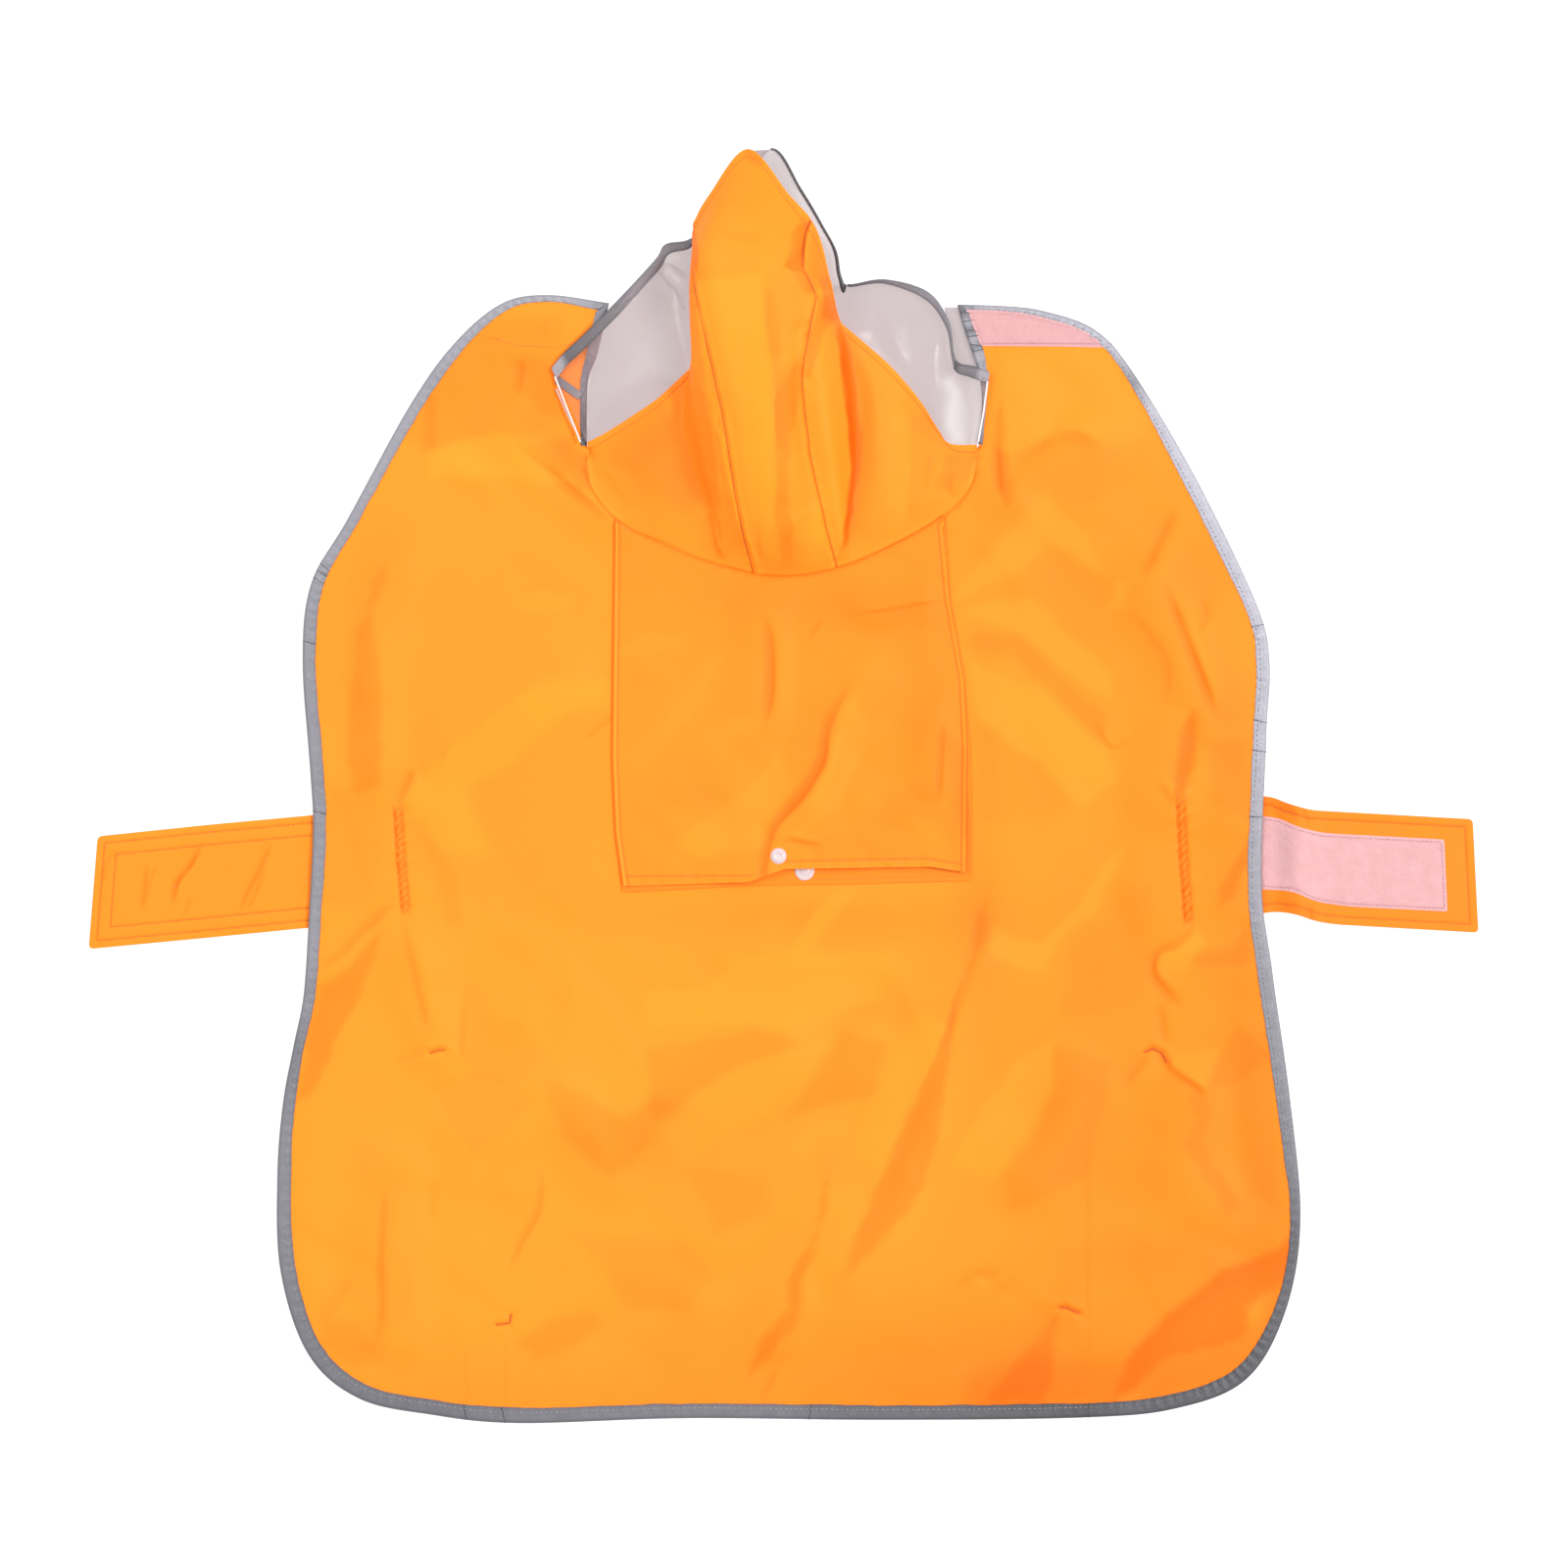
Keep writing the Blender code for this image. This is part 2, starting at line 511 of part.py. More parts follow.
def add_body():
    """The body panel and the layers that lie on it, all from one plan."""
    seam = [p for p in neck_points if POUCH_SEAM_X[0] < p.x < POUCH_SEAM_X[1]]
    back = closed(list(reversed(seam)) + POUCH_BACK)
    front = closed(list(reversed(seam)) + POUCH_FRONT)
    low_line = level_line(tape_ring, FLAP_PATCH_Y)
    above = [p for p in tape_ring if p.x > 0 and p.y > FLAP_PATCH_Y]
    patch = closed([low_line[1]] + above + [low_line[0]])
    spokes = list(zip(outer_ring, inner_ring))
    outline = outer_ring + list(reversed(neck_points))
    plan = triangulate(outline, [inner_ring, back, front, patch], GRID, spokes)
    add_cloth("body_panel", plan, panel_under, ORANGE, 0.45)
    add_cloth("pouch_back", part_of(plan, back), lambda x, y: panel_under(x, y) + LAYER,
              POUCH_ORANGE, 0.45)
    add_cloth("pouch_front", part_of(plan, front), pouch_front_under, POUCH_ORANGE, 0.45)
    add_cloth("flap_right_loop", part_of(plan, patch), lambda x, y: panel_under(x, y) + LAYER,
              LOOP_PINK, 0.9)


def level_line(ring, y):
    """The two ends of the level line that crosses the right flap inside a ring."""
    ends = []
    for a, b in zip(ring, ring[1:]):
        if a.x > 0 and (a.y > y) != (b.y > y):
            ends.append(a.lerp(b, (y - a.y) / (b.y - a.y)))
    return sorted(ends, key=lambda end: end.x)


def add_flat(name, outline, lines, under, colour, roughness, wall=WALL):
    return add_cloth(name, triangulate(outline, lines, STRAP_GRID), under, colour, roughness, wall)


def add_straps():
    hook_loop = closed(STRAP_LEFT_HOOK)

    def left_under(x, y):
        apart = distance_to_line(x, y, hook_loop)
        if inside(x, y, STRAP_LEFT_HOOK):
            apart = 0.0
        return (HOOK_WALL + GAP) * ramp(apart, 0, STRAP_FALL)

    def right_under(x, y):
        return fold_height(x, y, RIGHT_STRAP_FOLDS)

    add_flat("strap_left", STRAP_LEFT, [hook_loop], left_under, ORANGE, 0.45)
    add_flat("strap_left_hook", STRAP_LEFT_HOOK, [], lambda x, y: 0.0, LOOP_PINK, 0.8, HOOK_WALL)
    plan = triangulate(STRAP_RIGHT, [closed(STRAP_RIGHT_LOOP)], STRAP_GRID)
    add_cloth("strap_right", plan, right_under, ORANGE, 0.45)
    add_cloth("strap_right_loop", part_of(plan, STRAP_RIGHT_LOOP),
              lambda x, y: right_under(x, y) + LAYER, LOOP_PINK, 0.9)
    add_flat("flap_left_hook", FLAP_HOOK_LEFT, [], lambda x, y: 0.0, LOOP_PINK, 0.8, HOOK_WALL)


def add_binding():
    """The tape round the body's edge, a node for each stretch between two joints."""
    sections = []
    rows = zip(body_stations, outer_ring, inner_ring, tape_widths)
    for (point, inward), near, far, tape in rows:
        low, high = panel_under(*near), panel_under(*far)
        slope = (high - low) / (PANEL_RING - PANEL_EDGE)
        height = low + WALL / 2 - slope * PANEL_EDGE
        sections.append(Section(Vector((point.x, point.y, height)),
                                Vector((inward.x, inward.y, slope)), Vector((0, 0, 1)), tape))
    starts = []
    for _, joint in BINDING_JOINTS:
        spot = Vector(joint)
        starts.append(min(range(len(body_edge)), key=lambda i: (body_edge[i] - spot).length))
    ends = starts[1:] + [len(sections) - 1]
    for (name, _), first, last in zip(BINDING_JOINTS, starts, ends):
        add_tape(name, sections[first:last + 1], BINDING_GREY, 0.55)


def across_ribs(points):
    """Points at every column of the loft, smoothly through one point for each rib."""
    return spline(points, RIB_SPLIT)


def hood_grid():
    """The hood's outer face: a column of points for each column, from the seam to the face edge."""
    foot = []
    for i, point in enumerate(neck_points):
        run = neck_points[min(i + 1, len(neck_points) - 1)] - neck_points[max(i - 1, 0)]
        moved = point + left_normal(run) * EDGE_SEAM
        foot.append(Vector((moved.x, moved.y, panel_under(*point) + WALL)))
    shares = [row / HOOD_ROWS for row in range(HOOD_ROWS + 1)]
    ribs = []
    for i, rib in enumerate(RIBS):
        curve = spline([foot[i * RIB_SPLIT], rib.low, rib.mid, rib.high, rib.face], 8)
        ribs.append(points_at(curve, shares))
    rows = [across_ribs([rib[row] for rib in ribs]) for row in range(HOOD_ROWS + 1)]
    rows[0] = foot
    return [[row[column] for row in rows] for column in range(len(foot))]


def add_hood(grid, normals):
    """Three panels, each drawn back by half a gap along the crown's seams."""
    left, right = LEFT_SEAM * RIB_SPLIT, RIGHT_SEAM * RIB_SPLIT
    for name, first, last in (("hood_left", 0, left), ("hood_crown", left, right),
                              ("hood_right", right, len(grid) - 1)):
        columns = [list(column) for column in grid[first:last + 1]]
        for end, other, is_seam in ((0, 1, first > 0), (-1, -2, last < len(grid) - 1)):
            if is_seam:
                columns[end] = [p + (q - p).normalized() * (GAP / 2)
                                for p, q in zip(columns[end], columns[other])]
        add_loft(name, columns, normals[first:last + 1], ORANGE, 0.45)


def add_brim(grid, normals):
    """The clear film from the face edge to the rim, and the tape round its rim."""
    rims = across_ribs([rib.rim for rib in RIBS])
    middle = []
    for column, normal, rim in zip(grid, normals, rims):
        outwards = (column[-1] - column[-2]).normalized()
        start = column[-1] - normal[-1] * (WALL / 2) + outwards * (WALL / 2 + GAP + 0.05)
        back = (start - rim).normalized()
        tucked = [rim + back * (BRIM_BINDING_WIDTH + 1), rim + back * PANEL_EDGE]
        free = [start.lerp(tucked[0], i / (BRIM_ROWS - 1)) for i in range(BRIM_ROWS - 1)]
        middle.append(free + tucked)
    before, after = (rib * RIB_SPLIT for rib in RIM_FOLD)
    film_normals = (grid_normals(middle[:before + 1]) + grid_normals(middle)[before + 1:after]
                    + grid_normals(middle[after:]))
    for column, normal in zip(film_normals, normals):
        column[0] = normal[-1]
        column[-2] = column[-1]                 # flat where the tape holds it
    outer = [[p + n * (WALL / 2) for p, n in zip(*pair)] for pair in zip(middle, film_normals)]
    add_loft("brim_film", outer, film_normals, FILM_TINT, 0.15, 0.45)
    sections = [Section(rim, (column[0] - rim).normalized(), normal[-1], BRIM_BINDING_WIDTH)
                for rim, column, normal in zip(rims, middle, film_normals)]
    for name, first, last in BRIM_BINDING_PIECES:
        piece = sections[int(first * RIB_SPLIT):last * RIB_SPLIT + 1]
        add_tape(name, piece, BRIM_GREY, 0.55)


def add_snap(name, centre, radius, height, seat):
    """A low dome, turned about its middle, on a seat at one height."""
    profile = [(radius, 0.0), (radius, 0.45 * height), (0.8 * radius, 0.85 * height),
               (0.35 * radius, height)]
    points = []
    for reach, rise in profile:
        for k in range(SNAP_SIDES):
            angle = 2 * math.pi * k / SNAP_SIDES
            points.append((centre.x + reach * math.cos(angle), centre.y + reach * math.sin(angle),
                           seat + rise))
    faces = [tuple(reversed(range(SNAP_SIDES)))]
    for ring in range(len(profile) - 1):
        for k in range(SNAP_SIDES):
            a, b = ring * SNAP_SIDES + k, ring * SNAP_SIDES + (k + 1) % SNAP_SIDES
            faces.append((a, b, b + SNAP_SIDES, a + SNAP_SIDES))
    last = (len(profile) - 1) * SNAP_SIDES
    faces.append(tuple(range(last, last + SNAP_SIDES)))
    return add_piece(name, points, faces, SNAP_PINK, 0.3)


def pouch_snaps():
    """A cap on the front layer, and its other half on the back layer, partly under the front."""
    cap, base = SNAP_CAP, SNAP_BASE
    front_top = pouch_front_under(*cap["centre"]) + LAYER
    back_top = panel_under(*base["centre"]) + 2 * LAYER
    add_snap("snap_cap", cap["centre"], cap["radius"], cap["height"], front_top)
    add_snap("snap_base", base["centre"], base["radius"], base["height"], back_top)


def main():
    for old in list(bpy.data.objects):
        bpy.data.objects.remove(old, do_unlink=True)
    add_body()
    add_binding()
    add_straps()
    pouch_snaps()
    grid = hood_grid()
    normals = grid_normals(grid)
    for column in normals:
        column[0] = Vector((0, 0, 1))
    add_hood(grid, normals)
    add_brim(grid, normals)


main()
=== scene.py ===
"""The looks of a hooded dog raincoat, laid out flat with its outer face up.

Every cloth is a thin shell on the form of its solid, with its creases laid in. Tables and
sizes are in millimetres, in the same plan as the solids: +Y towards the tip of the hood.
"""
import math
from collections import namedtuple

import bpy
import numpy as np
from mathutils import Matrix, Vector
from mathutils.geometry import delaunay_2d_cdt

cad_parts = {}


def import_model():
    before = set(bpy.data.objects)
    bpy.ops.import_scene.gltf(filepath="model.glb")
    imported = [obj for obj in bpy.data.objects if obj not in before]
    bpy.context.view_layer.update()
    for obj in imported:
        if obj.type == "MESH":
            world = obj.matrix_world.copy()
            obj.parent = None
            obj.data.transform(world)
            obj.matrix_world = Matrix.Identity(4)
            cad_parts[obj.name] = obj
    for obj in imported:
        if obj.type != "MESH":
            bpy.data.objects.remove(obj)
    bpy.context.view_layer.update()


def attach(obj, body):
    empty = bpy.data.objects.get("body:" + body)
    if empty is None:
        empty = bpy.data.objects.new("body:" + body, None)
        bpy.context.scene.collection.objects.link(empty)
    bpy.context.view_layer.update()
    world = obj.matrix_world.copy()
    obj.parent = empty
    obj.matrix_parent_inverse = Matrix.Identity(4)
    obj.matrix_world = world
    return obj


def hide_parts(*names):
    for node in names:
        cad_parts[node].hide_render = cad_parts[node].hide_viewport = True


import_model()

MM = 0.001
WALL = 1.0                      # of the solids that the cloth lies on
GAP = 0.3
LAYER = WALL + GAP
CENTRE = np.array((-0.2, -1.3))
CAMERA_HEIGHT = 2267.0
CLOTH = 0.5                     # thickness of the shells
CREASE_EDGE = 0.35              # how soft the edge of a crease's shade is
SMOOTH_ANGLE = 50
SEED = 7

Rib = namedtuple("Rib", "name seam low mid high face rim")
Ridge = namedtuple("Ridge", "x1 y1 x2 y2 width height")
Fold = namedtuple("Fold", "path width depth lift")      # lift is the ridge at the path's left
# Shade, Facet and Patch give painted shade and light in the cloth's colour: soft ovals, the dark side of a
# sharp ridge, and flat facets.
Shade = namedtuple("Shade", "x y along across turn amount")
Facet = namedtuple("Facet", "path reach amount height")  # cloth turned from the light, right of a line
Patch = namedtuple("Patch", "outline amount soft")        # an area of cloth that lies lighter or darker
BrimTape = namedtuple("BrimTape", "name first last node widths tones")


def table(kind, rows):
    return [kind(*row) for row in rows]


# ---------------------------------------------------------------- the coat's plan

# The bound edge: a place, and the tape's width there.
LEFT_NECK_EDGE = [
    (-120.5, 207, 4), (-120.5, 228, 4), (-119.5, 248, 4.5), (-114, 263, 6.5), (-107, 294, 7)]
OUTER_EDGE = [
    (-107, 294, 5), (-144, 299, 4.5), (-172, 294, 5), (-200, 271, 6.5), (-228, 233, 7), (-267, 162, 6.5),
    (-289.5, 122, 7.5), (-294.5, 74, 8), (-289.5, 5, 8), (-288, -30, 8), (-291, -90, 7.5), (-294, -130, 7),
    (-300, -160, 6.5), (-306.5, -195, 7.5), (-310, -240, 8.7), (-308, -298, 9.3), (-291, -349, 9.7),
    (-260, -376, 9.8), (-215, -386, 9.4), (-162, -391, 9.4), (-60, -388, 9), (60, -389, 9),
    (182, -387.6, 9), (240, -382, 9), (283, -364, 9.4), (307, -322, 7), (316, -266, 6.5),
    (309.5, -192, 8.5), (298.5, -114, 8.8), (292, -60, 8.4), (295, 30, 8), (297, 74, 8), (289, 110, 7.4),
    (252, 187, 8), (213, 252.5, 5), (190, 278, 5), (160, 289, 4.8), (136, 292.3, 4), (106, 293.3, 4)]
RIGHT_NECK_EDGE = [
    (106, 293.3, 6), (110, 279, 6.5), (115.6, 262.4, 7), (119.5, 249, 5), (121, 232, 2.8),
    (118.8, 208, 2.6)]
NECK_SEAM = [
    (-120.5, 207), (-119, 184), (-101, 161), (-70, 145.5), (-36, 133), (-2, 127), (31.5, 132), (65, 145.5),
    (97, 164), (114, 182), (119.3, 207)]
BINDING_JOINTS = [
    ("neck_left", (-120.5, 207)), ("flap_left", (-118, 261)), ("waist_left", (-292, 87)),
    ("side_left", (-287, -17)), ("hem_left", (-194, -388)), ("hem_middle", (15, -388)),
    ("side_right", (186, -388)), ("flap_right", (291, 97)), ("neck_right", (106, 293.3))]

# The largest folds, as the solids have them.
PANEL_RIDGES = table(Ridge, [
    (-166, 221, -112, 172, 34, 5), (-246, 134, -258, 60, 40, 5), (-258, 60, -252, 12, 36, 4),
    (-135, 70, -206, 26, 30, 3), (-228, -100, -210, -160, 30, 3.5), (-238, -238, -240, -340, 34, 4),
    (-193, -215, -149, -190, 34, 3), (-149, -190, -105, -230, 34, 3), (-105, -230, -6, -164, 38, 3),
    (108, -108, 90, -172, 34, 4), (90, -172, 34, -290, 34, 4), (22, -240, -4, -336, 30, 3),
    (178, -180, 152, -240, 30, 3), (252, -188, 240, -232, 32, 4), (240, -232, 272, -270, 32, 3.5),
    (262, -296, 212, -346, 36, 4), (140, 232, 141, 176, 30, 4.5), (141, 176, 196, 214, 32, 3.5),
    (228, 122, 258, 44, 36, 5), (244, 36, 232, -6, 32, 4)])
POUCH_RIDGES = table(Ridge, [
    (-14, 104, -14, 36, 26, 3.2), (50, 64, 28, 26, 30, 4), (28, 26, 14, -10, 30, 4.2),
    (14, -10, -2, -26, 28, 3.2), (92, 34, 92, 0, 24, 3), (52, 108, 94, 114, 22, 2.6)])
STRAP_RIDGES = [Ridge(314, -4, 316, -92, 16, 5.0)]

POUCH_BACK = [
    (-104.5, 64), (-105, 16), (-103, -30), (-99, -66), (-17, -62), (41, -61), (114, -59), (115, -17),
    (114, 23), (110, 64), (101, 115)]
POUCH_FRONT = [
    (-104.5, 64), (-105, 16), (-103, -30), (-98.5, -62.5), (-22, -60), (0, -52), (89, -50.5), (111, -54),
    (111.5, -17), (112, 23), (110, 64), (101, 115)]
POUCH_LEFT_SIDE = [(-103.5, 158)] + POUCH_FRONT[:4]
POUCH_RIGHT_SIDE = [(97, 158), (101, 115)] + POUCH_FRONT[10:6:-1]
POUCH_SEAM_X = (-104.5, 98.5)
MOUTH_LINE = [(5, -52), (95, -52)]
MOUTH_LIFT = 2.3
SNAP_CAP = (-3.4, -44)
SNAP_BASE = (12.6, -53)

POUCH_AREA = [(-119, 184), (-104, 20), (-99, -66), (114, -59), (114, 23), (114, 182), (0, 127)]
LEFT_HEM = [(-96, -56.5), (-60, -56.2), (-20, -55.8)]
RIGHT_HEM = [(2, -47.2), (60, -45.8), (89, -45.6), (110, -49.3)]
HEM_LINE = [(-98.5, -60), (-22, -58), (0, -50), (89, -48.5), (111, -52)]

STRAP_LEFT = [
    (-233, -83), (-233, -12.5), (-288, -19), (-353, -25), (-420, -32), (-425.5, -101), (-357, -94.5),
    (-291, -88)]
STRAP_LEFT_HOOK = [
    (-312, -32), (-410, -40), (-414, -91), (-314, -81)]
STRAP_RIGHT = [
    (246, -85), (302, -78), (313, -79.5), (325, -84), (338, -86), (425, -91), (421.5, -21.5), (322, -16),
    (308, -12), (298, -7.5), (245, -8)]
STRAP_RIGHT_LOOP = [
    (289.5, -64.2), (311, -65.5), (325, -72), (345, -75), (406, -78), (404, -34), (329, -30), (313, -26),
    (303, -21), (289.5, -19.2)]
UNDER_STRAPS = [(-288, -233, -88, -13), (245, 292, -86, -8)]
FLAP_PATCH_Y = 267.0
FLAP_HOOK_LEFT = [
    (-184, 270), (-131, 268), (-124, 281), (-144, 285.5), (-168, 283)]
HOOK_WALL = 1.2                 # of the hook tapes' solids
STRAP_WALL = 0.8
PATCH_WALL = 0.7
LEFT_STRAP_ROWS = (4.6, 12.2)   # rows of stitches, in from the edge
RIGHT_STRAP_ROWS = (5.0,)
LOOP_ROW = 1.8

RIBS = table(Rib, [
    ("left corner", 0.022, (-119.5, 203.8, 1.8), (-119.7, 205.3, 3), (-119.9, 206.9, 4.3),
     (-120.3, 208.6, 5.4), (-142, 254, 7)),
    ("left end", 0.097, (-113.8, 185.8, 3), (-112.3, 195.7, 4), (-110.8, 205.6, 5), (-108.8, 214.6, 5.4),
     (-134, 263.5, 7.6)),
    ("left outer", 0.157, (-101.3, 177.7, 4), (-98.7, 193.5, 6), (-96.2, 209.4, 6.4), (-93.8, 224, 5.6),
     (-121.5, 275, 8.2)),
    ("left middle", 0.243, (-79.8, 171.5, 7), (-78.7, 193.3, 8.5), (-77.7, 215.3, 7.5), (-75.8, 236.4, 6),
     (-100.7, 296, 8.2)),
    ("left valley", 0.363, (-46.9, 159.6, 6), (-55.8, 189.5, 6.5), (-61.8, 221.3, 7.5), (-57.8, 253.2, 7),
     (-78.9, 320.4, 4)),
    ("left foot", 0.4, (-37.7, 158.9, 15), (-47.5, 193.1, 22), (-56.3, 247.1, 26), (-52.7, 284.2, 14),
     (-72.5, 330, 3)),
    ("left flank", 0.425, (-32.7, 161.5, 21), (-42.4, 208.9, 33), (-56.6, 280.6, 35), (-53.5, 311.2, 20),
     (-57.9, 333, 3.4)),
    ("left seam", 0.447, (-27.7, 164, 27), (-37.3, 223.6, 44), (-53.8, 298, 45), (-54.8, 336, 27),
     (-45.9, 343.4, 4)),
    ("left shoulder", 0.471, (-19.7, 163.7, 31), (-26.4, 222.9, 51), (-42.5, 312.5, 53), (-44.4, 356.6, 31),
     (-28.9, 361, 6)),
    ("crest", 0.506, (-7.9, 163.6, 33), (-9.8, 222.6, 54), (-13.6, 301.9, 59), (-21.7, 382.6, 36),
     (-7, 386.8, 10)),
    ("right shoulder", 0.559, (7.9, 163.8, 30), (2.9, 223, 50), (1.9, 292.5, 57), (2.9, 354.3, 42),
     (10, 363.5, 6)),
    ("right seam", 0.611, (22.8, 167.4, 22), (11.8, 224, 40), (15.7, 278.8, 49), (18.6, 334.4, 44),
     (24.9, 337.3, 5)),
    ("small ridge", 0.628, (32.7, 167.5, 20), (26.5, 224.2, 38), (27.6, 267.7, 36), (27.6, 304.5, 33),
     (34.4, 310.5, 4)),
    ("right valley", 0.648, (39.8, 164.3, 9), (42.3, 204, 11), (41.8, 243.7, 12), (34.8, 280.3, 14),
     (39.9, 305.5, 3.4)),
    ("right foot", 0.691, (55.8, 167.3, 9), (57.7, 198.9, 12), (56.7, 233.8, 11.5), (50.8, 267.4, 9.5),
     (61.9, 308.6, 3)),
    ("right middle", 0.759, (73.7, 171.4, 8), (71.7, 197.1, 10), (69.7, 224.1, 9), (66.8, 253.2, 7),
     (87.9, 301, 3.4)),
    ("right outer", 0.84, (94.7, 179.5, 6), (90.7, 196.3, 8), (86.7, 213.3, 7.4), (82.8, 234.4, 6),
     (100.8, 282.5, 4.4)),
    ("right end", 0.897, (108.8, 183.7, 4), (104.7, 193.5, 6), (98.7, 204.5, 6), (92.8, 218.5, 5.4),
     (105, 259.4, 5.4)),
    ("right turn", 0.936, (112.9, 191.7, 3), (109.3, 197.1, 4.5), (104.8, 202.6, 5.2), (100.8, 208.1, 5.3),
     (115.7, 255.3, 6)),
    ("right corner", 0.977, (117.9, 201.8, 1.9), (117.9, 203.8, 3.1), (117.8, 205.7, 4.3),
     (117.7, 207.2, 5.3), (125.7, 251.7, 6.4))])
RIB_SPLIT = 24
HOOD_ROWS = 160
BRIM_ROWS = 60
LEFT_SEAM, RIGHT_SEAM = 7, 11
STRAIGHT_SPANS = (3, 13)        # where the face edge runs straight up to the ridge
RIGHT_SEAM_LINE = [             # as it is sewn, seen from above
    (16.2, 202), (13.2, 224), (11.2, 245), (11.9, 260), (15.6, 278), (19.6, 299), (16.2, 307), (11.2, 316),
    (12, 328), (13.4, 338), (17, 346)]
RIGHT_SEAM_BEGINS = (202, 214)
RIGHT_SEAM_REACH = 26
BRIM_BINDING_WIDTH = 7.0
RIM_BULGE = (2.2, 0.6)          # how the rim bends outwards beside the right seam
RIM_BULGE_RIB, RIM_BULGE_HALF = 11.45, 0.35
HOOD_HEM = 5.2

# ---------------------------------------------------------------- creases, and painted shade and light

PANEL_FOLDS = table(Fold, [
    ([(-170, 214), (-144, 192), (-103, 158)], 5, -1.9, 1.6),
    ([(-246, 138), (-262, 98), (-266, 62), (-258, 10)], 11, -0.8, 0.6),
    ([(-135, 67), (-168, 44), (-200, 23)], 9, 1.2, 0),
    ([(-101, 43), (-112, 35), (-124, 25)], 2, -1.1, 0.5),
    ([(-225, 11), (-232, -3), (-238, -16)], 3.5, -1.3, 0.6),
    ([(-205, 23), (-215, 3)], 3, -0.6, 0.3),
    ([(-236, -71), (-256, -88), (-270, -103), (-286, -116)], 4.5, -1.2, 0.8),
    ([(-234, -80), (-227, -110), (-222, -135), (-215, -160)], 4.5, -1.2, 0.8),
    ([(-196, -133), (-198, -173)], 2.5, -0.8, 0.4),
    ([(-284, -136), (-280, -160), (-286, -190)], 12, -0.8, 0.5),
    ([(-218, -164), (-242, -173)], 3, -0.7, 0.4),
    ([(-243, -236), (-247, -290), (-246, -322), (-251, -350)], 4, -1.1, 0.8),
    ([(-206, -240), (-214, -250), (-216, -272)], 4, -0.6, 0.3),
    ([(-147, -232), (-151, -262), (-162, -282), (-171, -306)], 4, -1.2, 0.8),
    ([(-198, -230), (-149, -196), (-107, -238), (-62, -200), (4, -166)], 15, -0.9, 0.7),
    ([(-26, -370), (-14, -346), (0, -323)], 9, -0.9, 0.7),
    ([(-4, -358), (-15, -378)], 2.5, -0.9, 0.3),
    ([(126, -60), (116, -104), (103, -146), (92, -172)], 5, -0.9, 0.8),
    ([(99, -160), (62, -253), (37, -298)], 9, -1.3, 1.1),
    ([(28, -238), (8, -300), (-2, -342)], 9, -0.9, 0.8),
    ([(173, -176), (158, -212), (143, -240)], 9, -0.9, 0.7),
    ([(225, -164), (207, -186)], 4, -0.9, 0.5),
    ([(226, -160), (238, -176), (262, -192)], 3.5, -1.5, 1),
    ([(253, -84), (241, -98), (228, -104), (226, -116), (234, -127), (248, -140)], 4.5, -1.4, 0.9),
    ([(230, -132), (234, -160)], 3.5, -1, 0.5),
    ([(316, -284), (268, -302), (217, -346), (203, -374)], 16, -2, 1.2),
    ([(110, -298), (124, -305), (138, -299)], 5, 0.7, 0),
    ([(133, 240), (131, 212), (131, 186), (137, 168)], 5, -1.5, 1),
    ([(139, 196), (158, 208), (176, 213), (198, 205)], 6, -0.9, 0.7),
    ([(243, 172), (230, 148), (217, 122)], 5, -1.2, 0.8),
    ([(231, 127), (246, 88), (267, 34)], 5.5, -1.6, 1),
    ([(254, 116), (258, 103), (253, 89)], 3, -1, 0.5),
    ([(208, 110), (222, 92), (234, 72), (233, 42)], 5.5, -0.7, 0.4),
    ([(252, 46), (247, 16), (240, -10)], 9, -1.6, 1.2),
    ([(228, 2), (239, -14)], 3, -0.7, 0.4),
    ([(189, 40), (200, 22), (213, 30)], 2, -0.9, 0.4),
    ([(-145, 288), (-146, 272)], 3, -0.5, 0.3),
    ([(-160, 262), (-163, 236)], 5, -1.2, 0.5),
    ([(186, -178), (185, -260), (186, -382)], 2, -0.28, 0.1),
    ([(-195, -340), (-194, -388)], 1.6, -0.3, 0.1),
    ([(-171, -330), (-170, -388)], 1.6, -0.3, 0.1),
    ([(15, -62), (14, -92)], 1.6, -0.25, 0.1),
    ([(-180, 150), (-140, 120), (-118, 96)], 14, -0.9, 0.5),
    ([(-262, -300), (-284, -330)], 8, -0.8, 0.4),
    ([(150, 150), (190, 120), (214, 80)], 16, -0.9, 0.6),
    ([(118, 60), (150, 20), (170, -30)], 16, -0.8, 0.6),
    ([(-60, -90), (-30, -120), (20, -112)], 16, -1, 0.6),
    ([(52, -96), (44, -140), (14, -176)], 14, -0.9, 0.6),
    ([(-190, -90), (-150, -120), (-130, -160)], 14, -0.8, 0.6),
    ([(-120, -300), (-70, -320), (-44, -352)], 15, -0.9, 0.6),
    ([(120, -350), (160, -330), (172, -290)], 12, -0.8, 0.5),
    ([(-222, 190), (-190, 178), (-178, 160)], 10, -0.7, 0.5)])
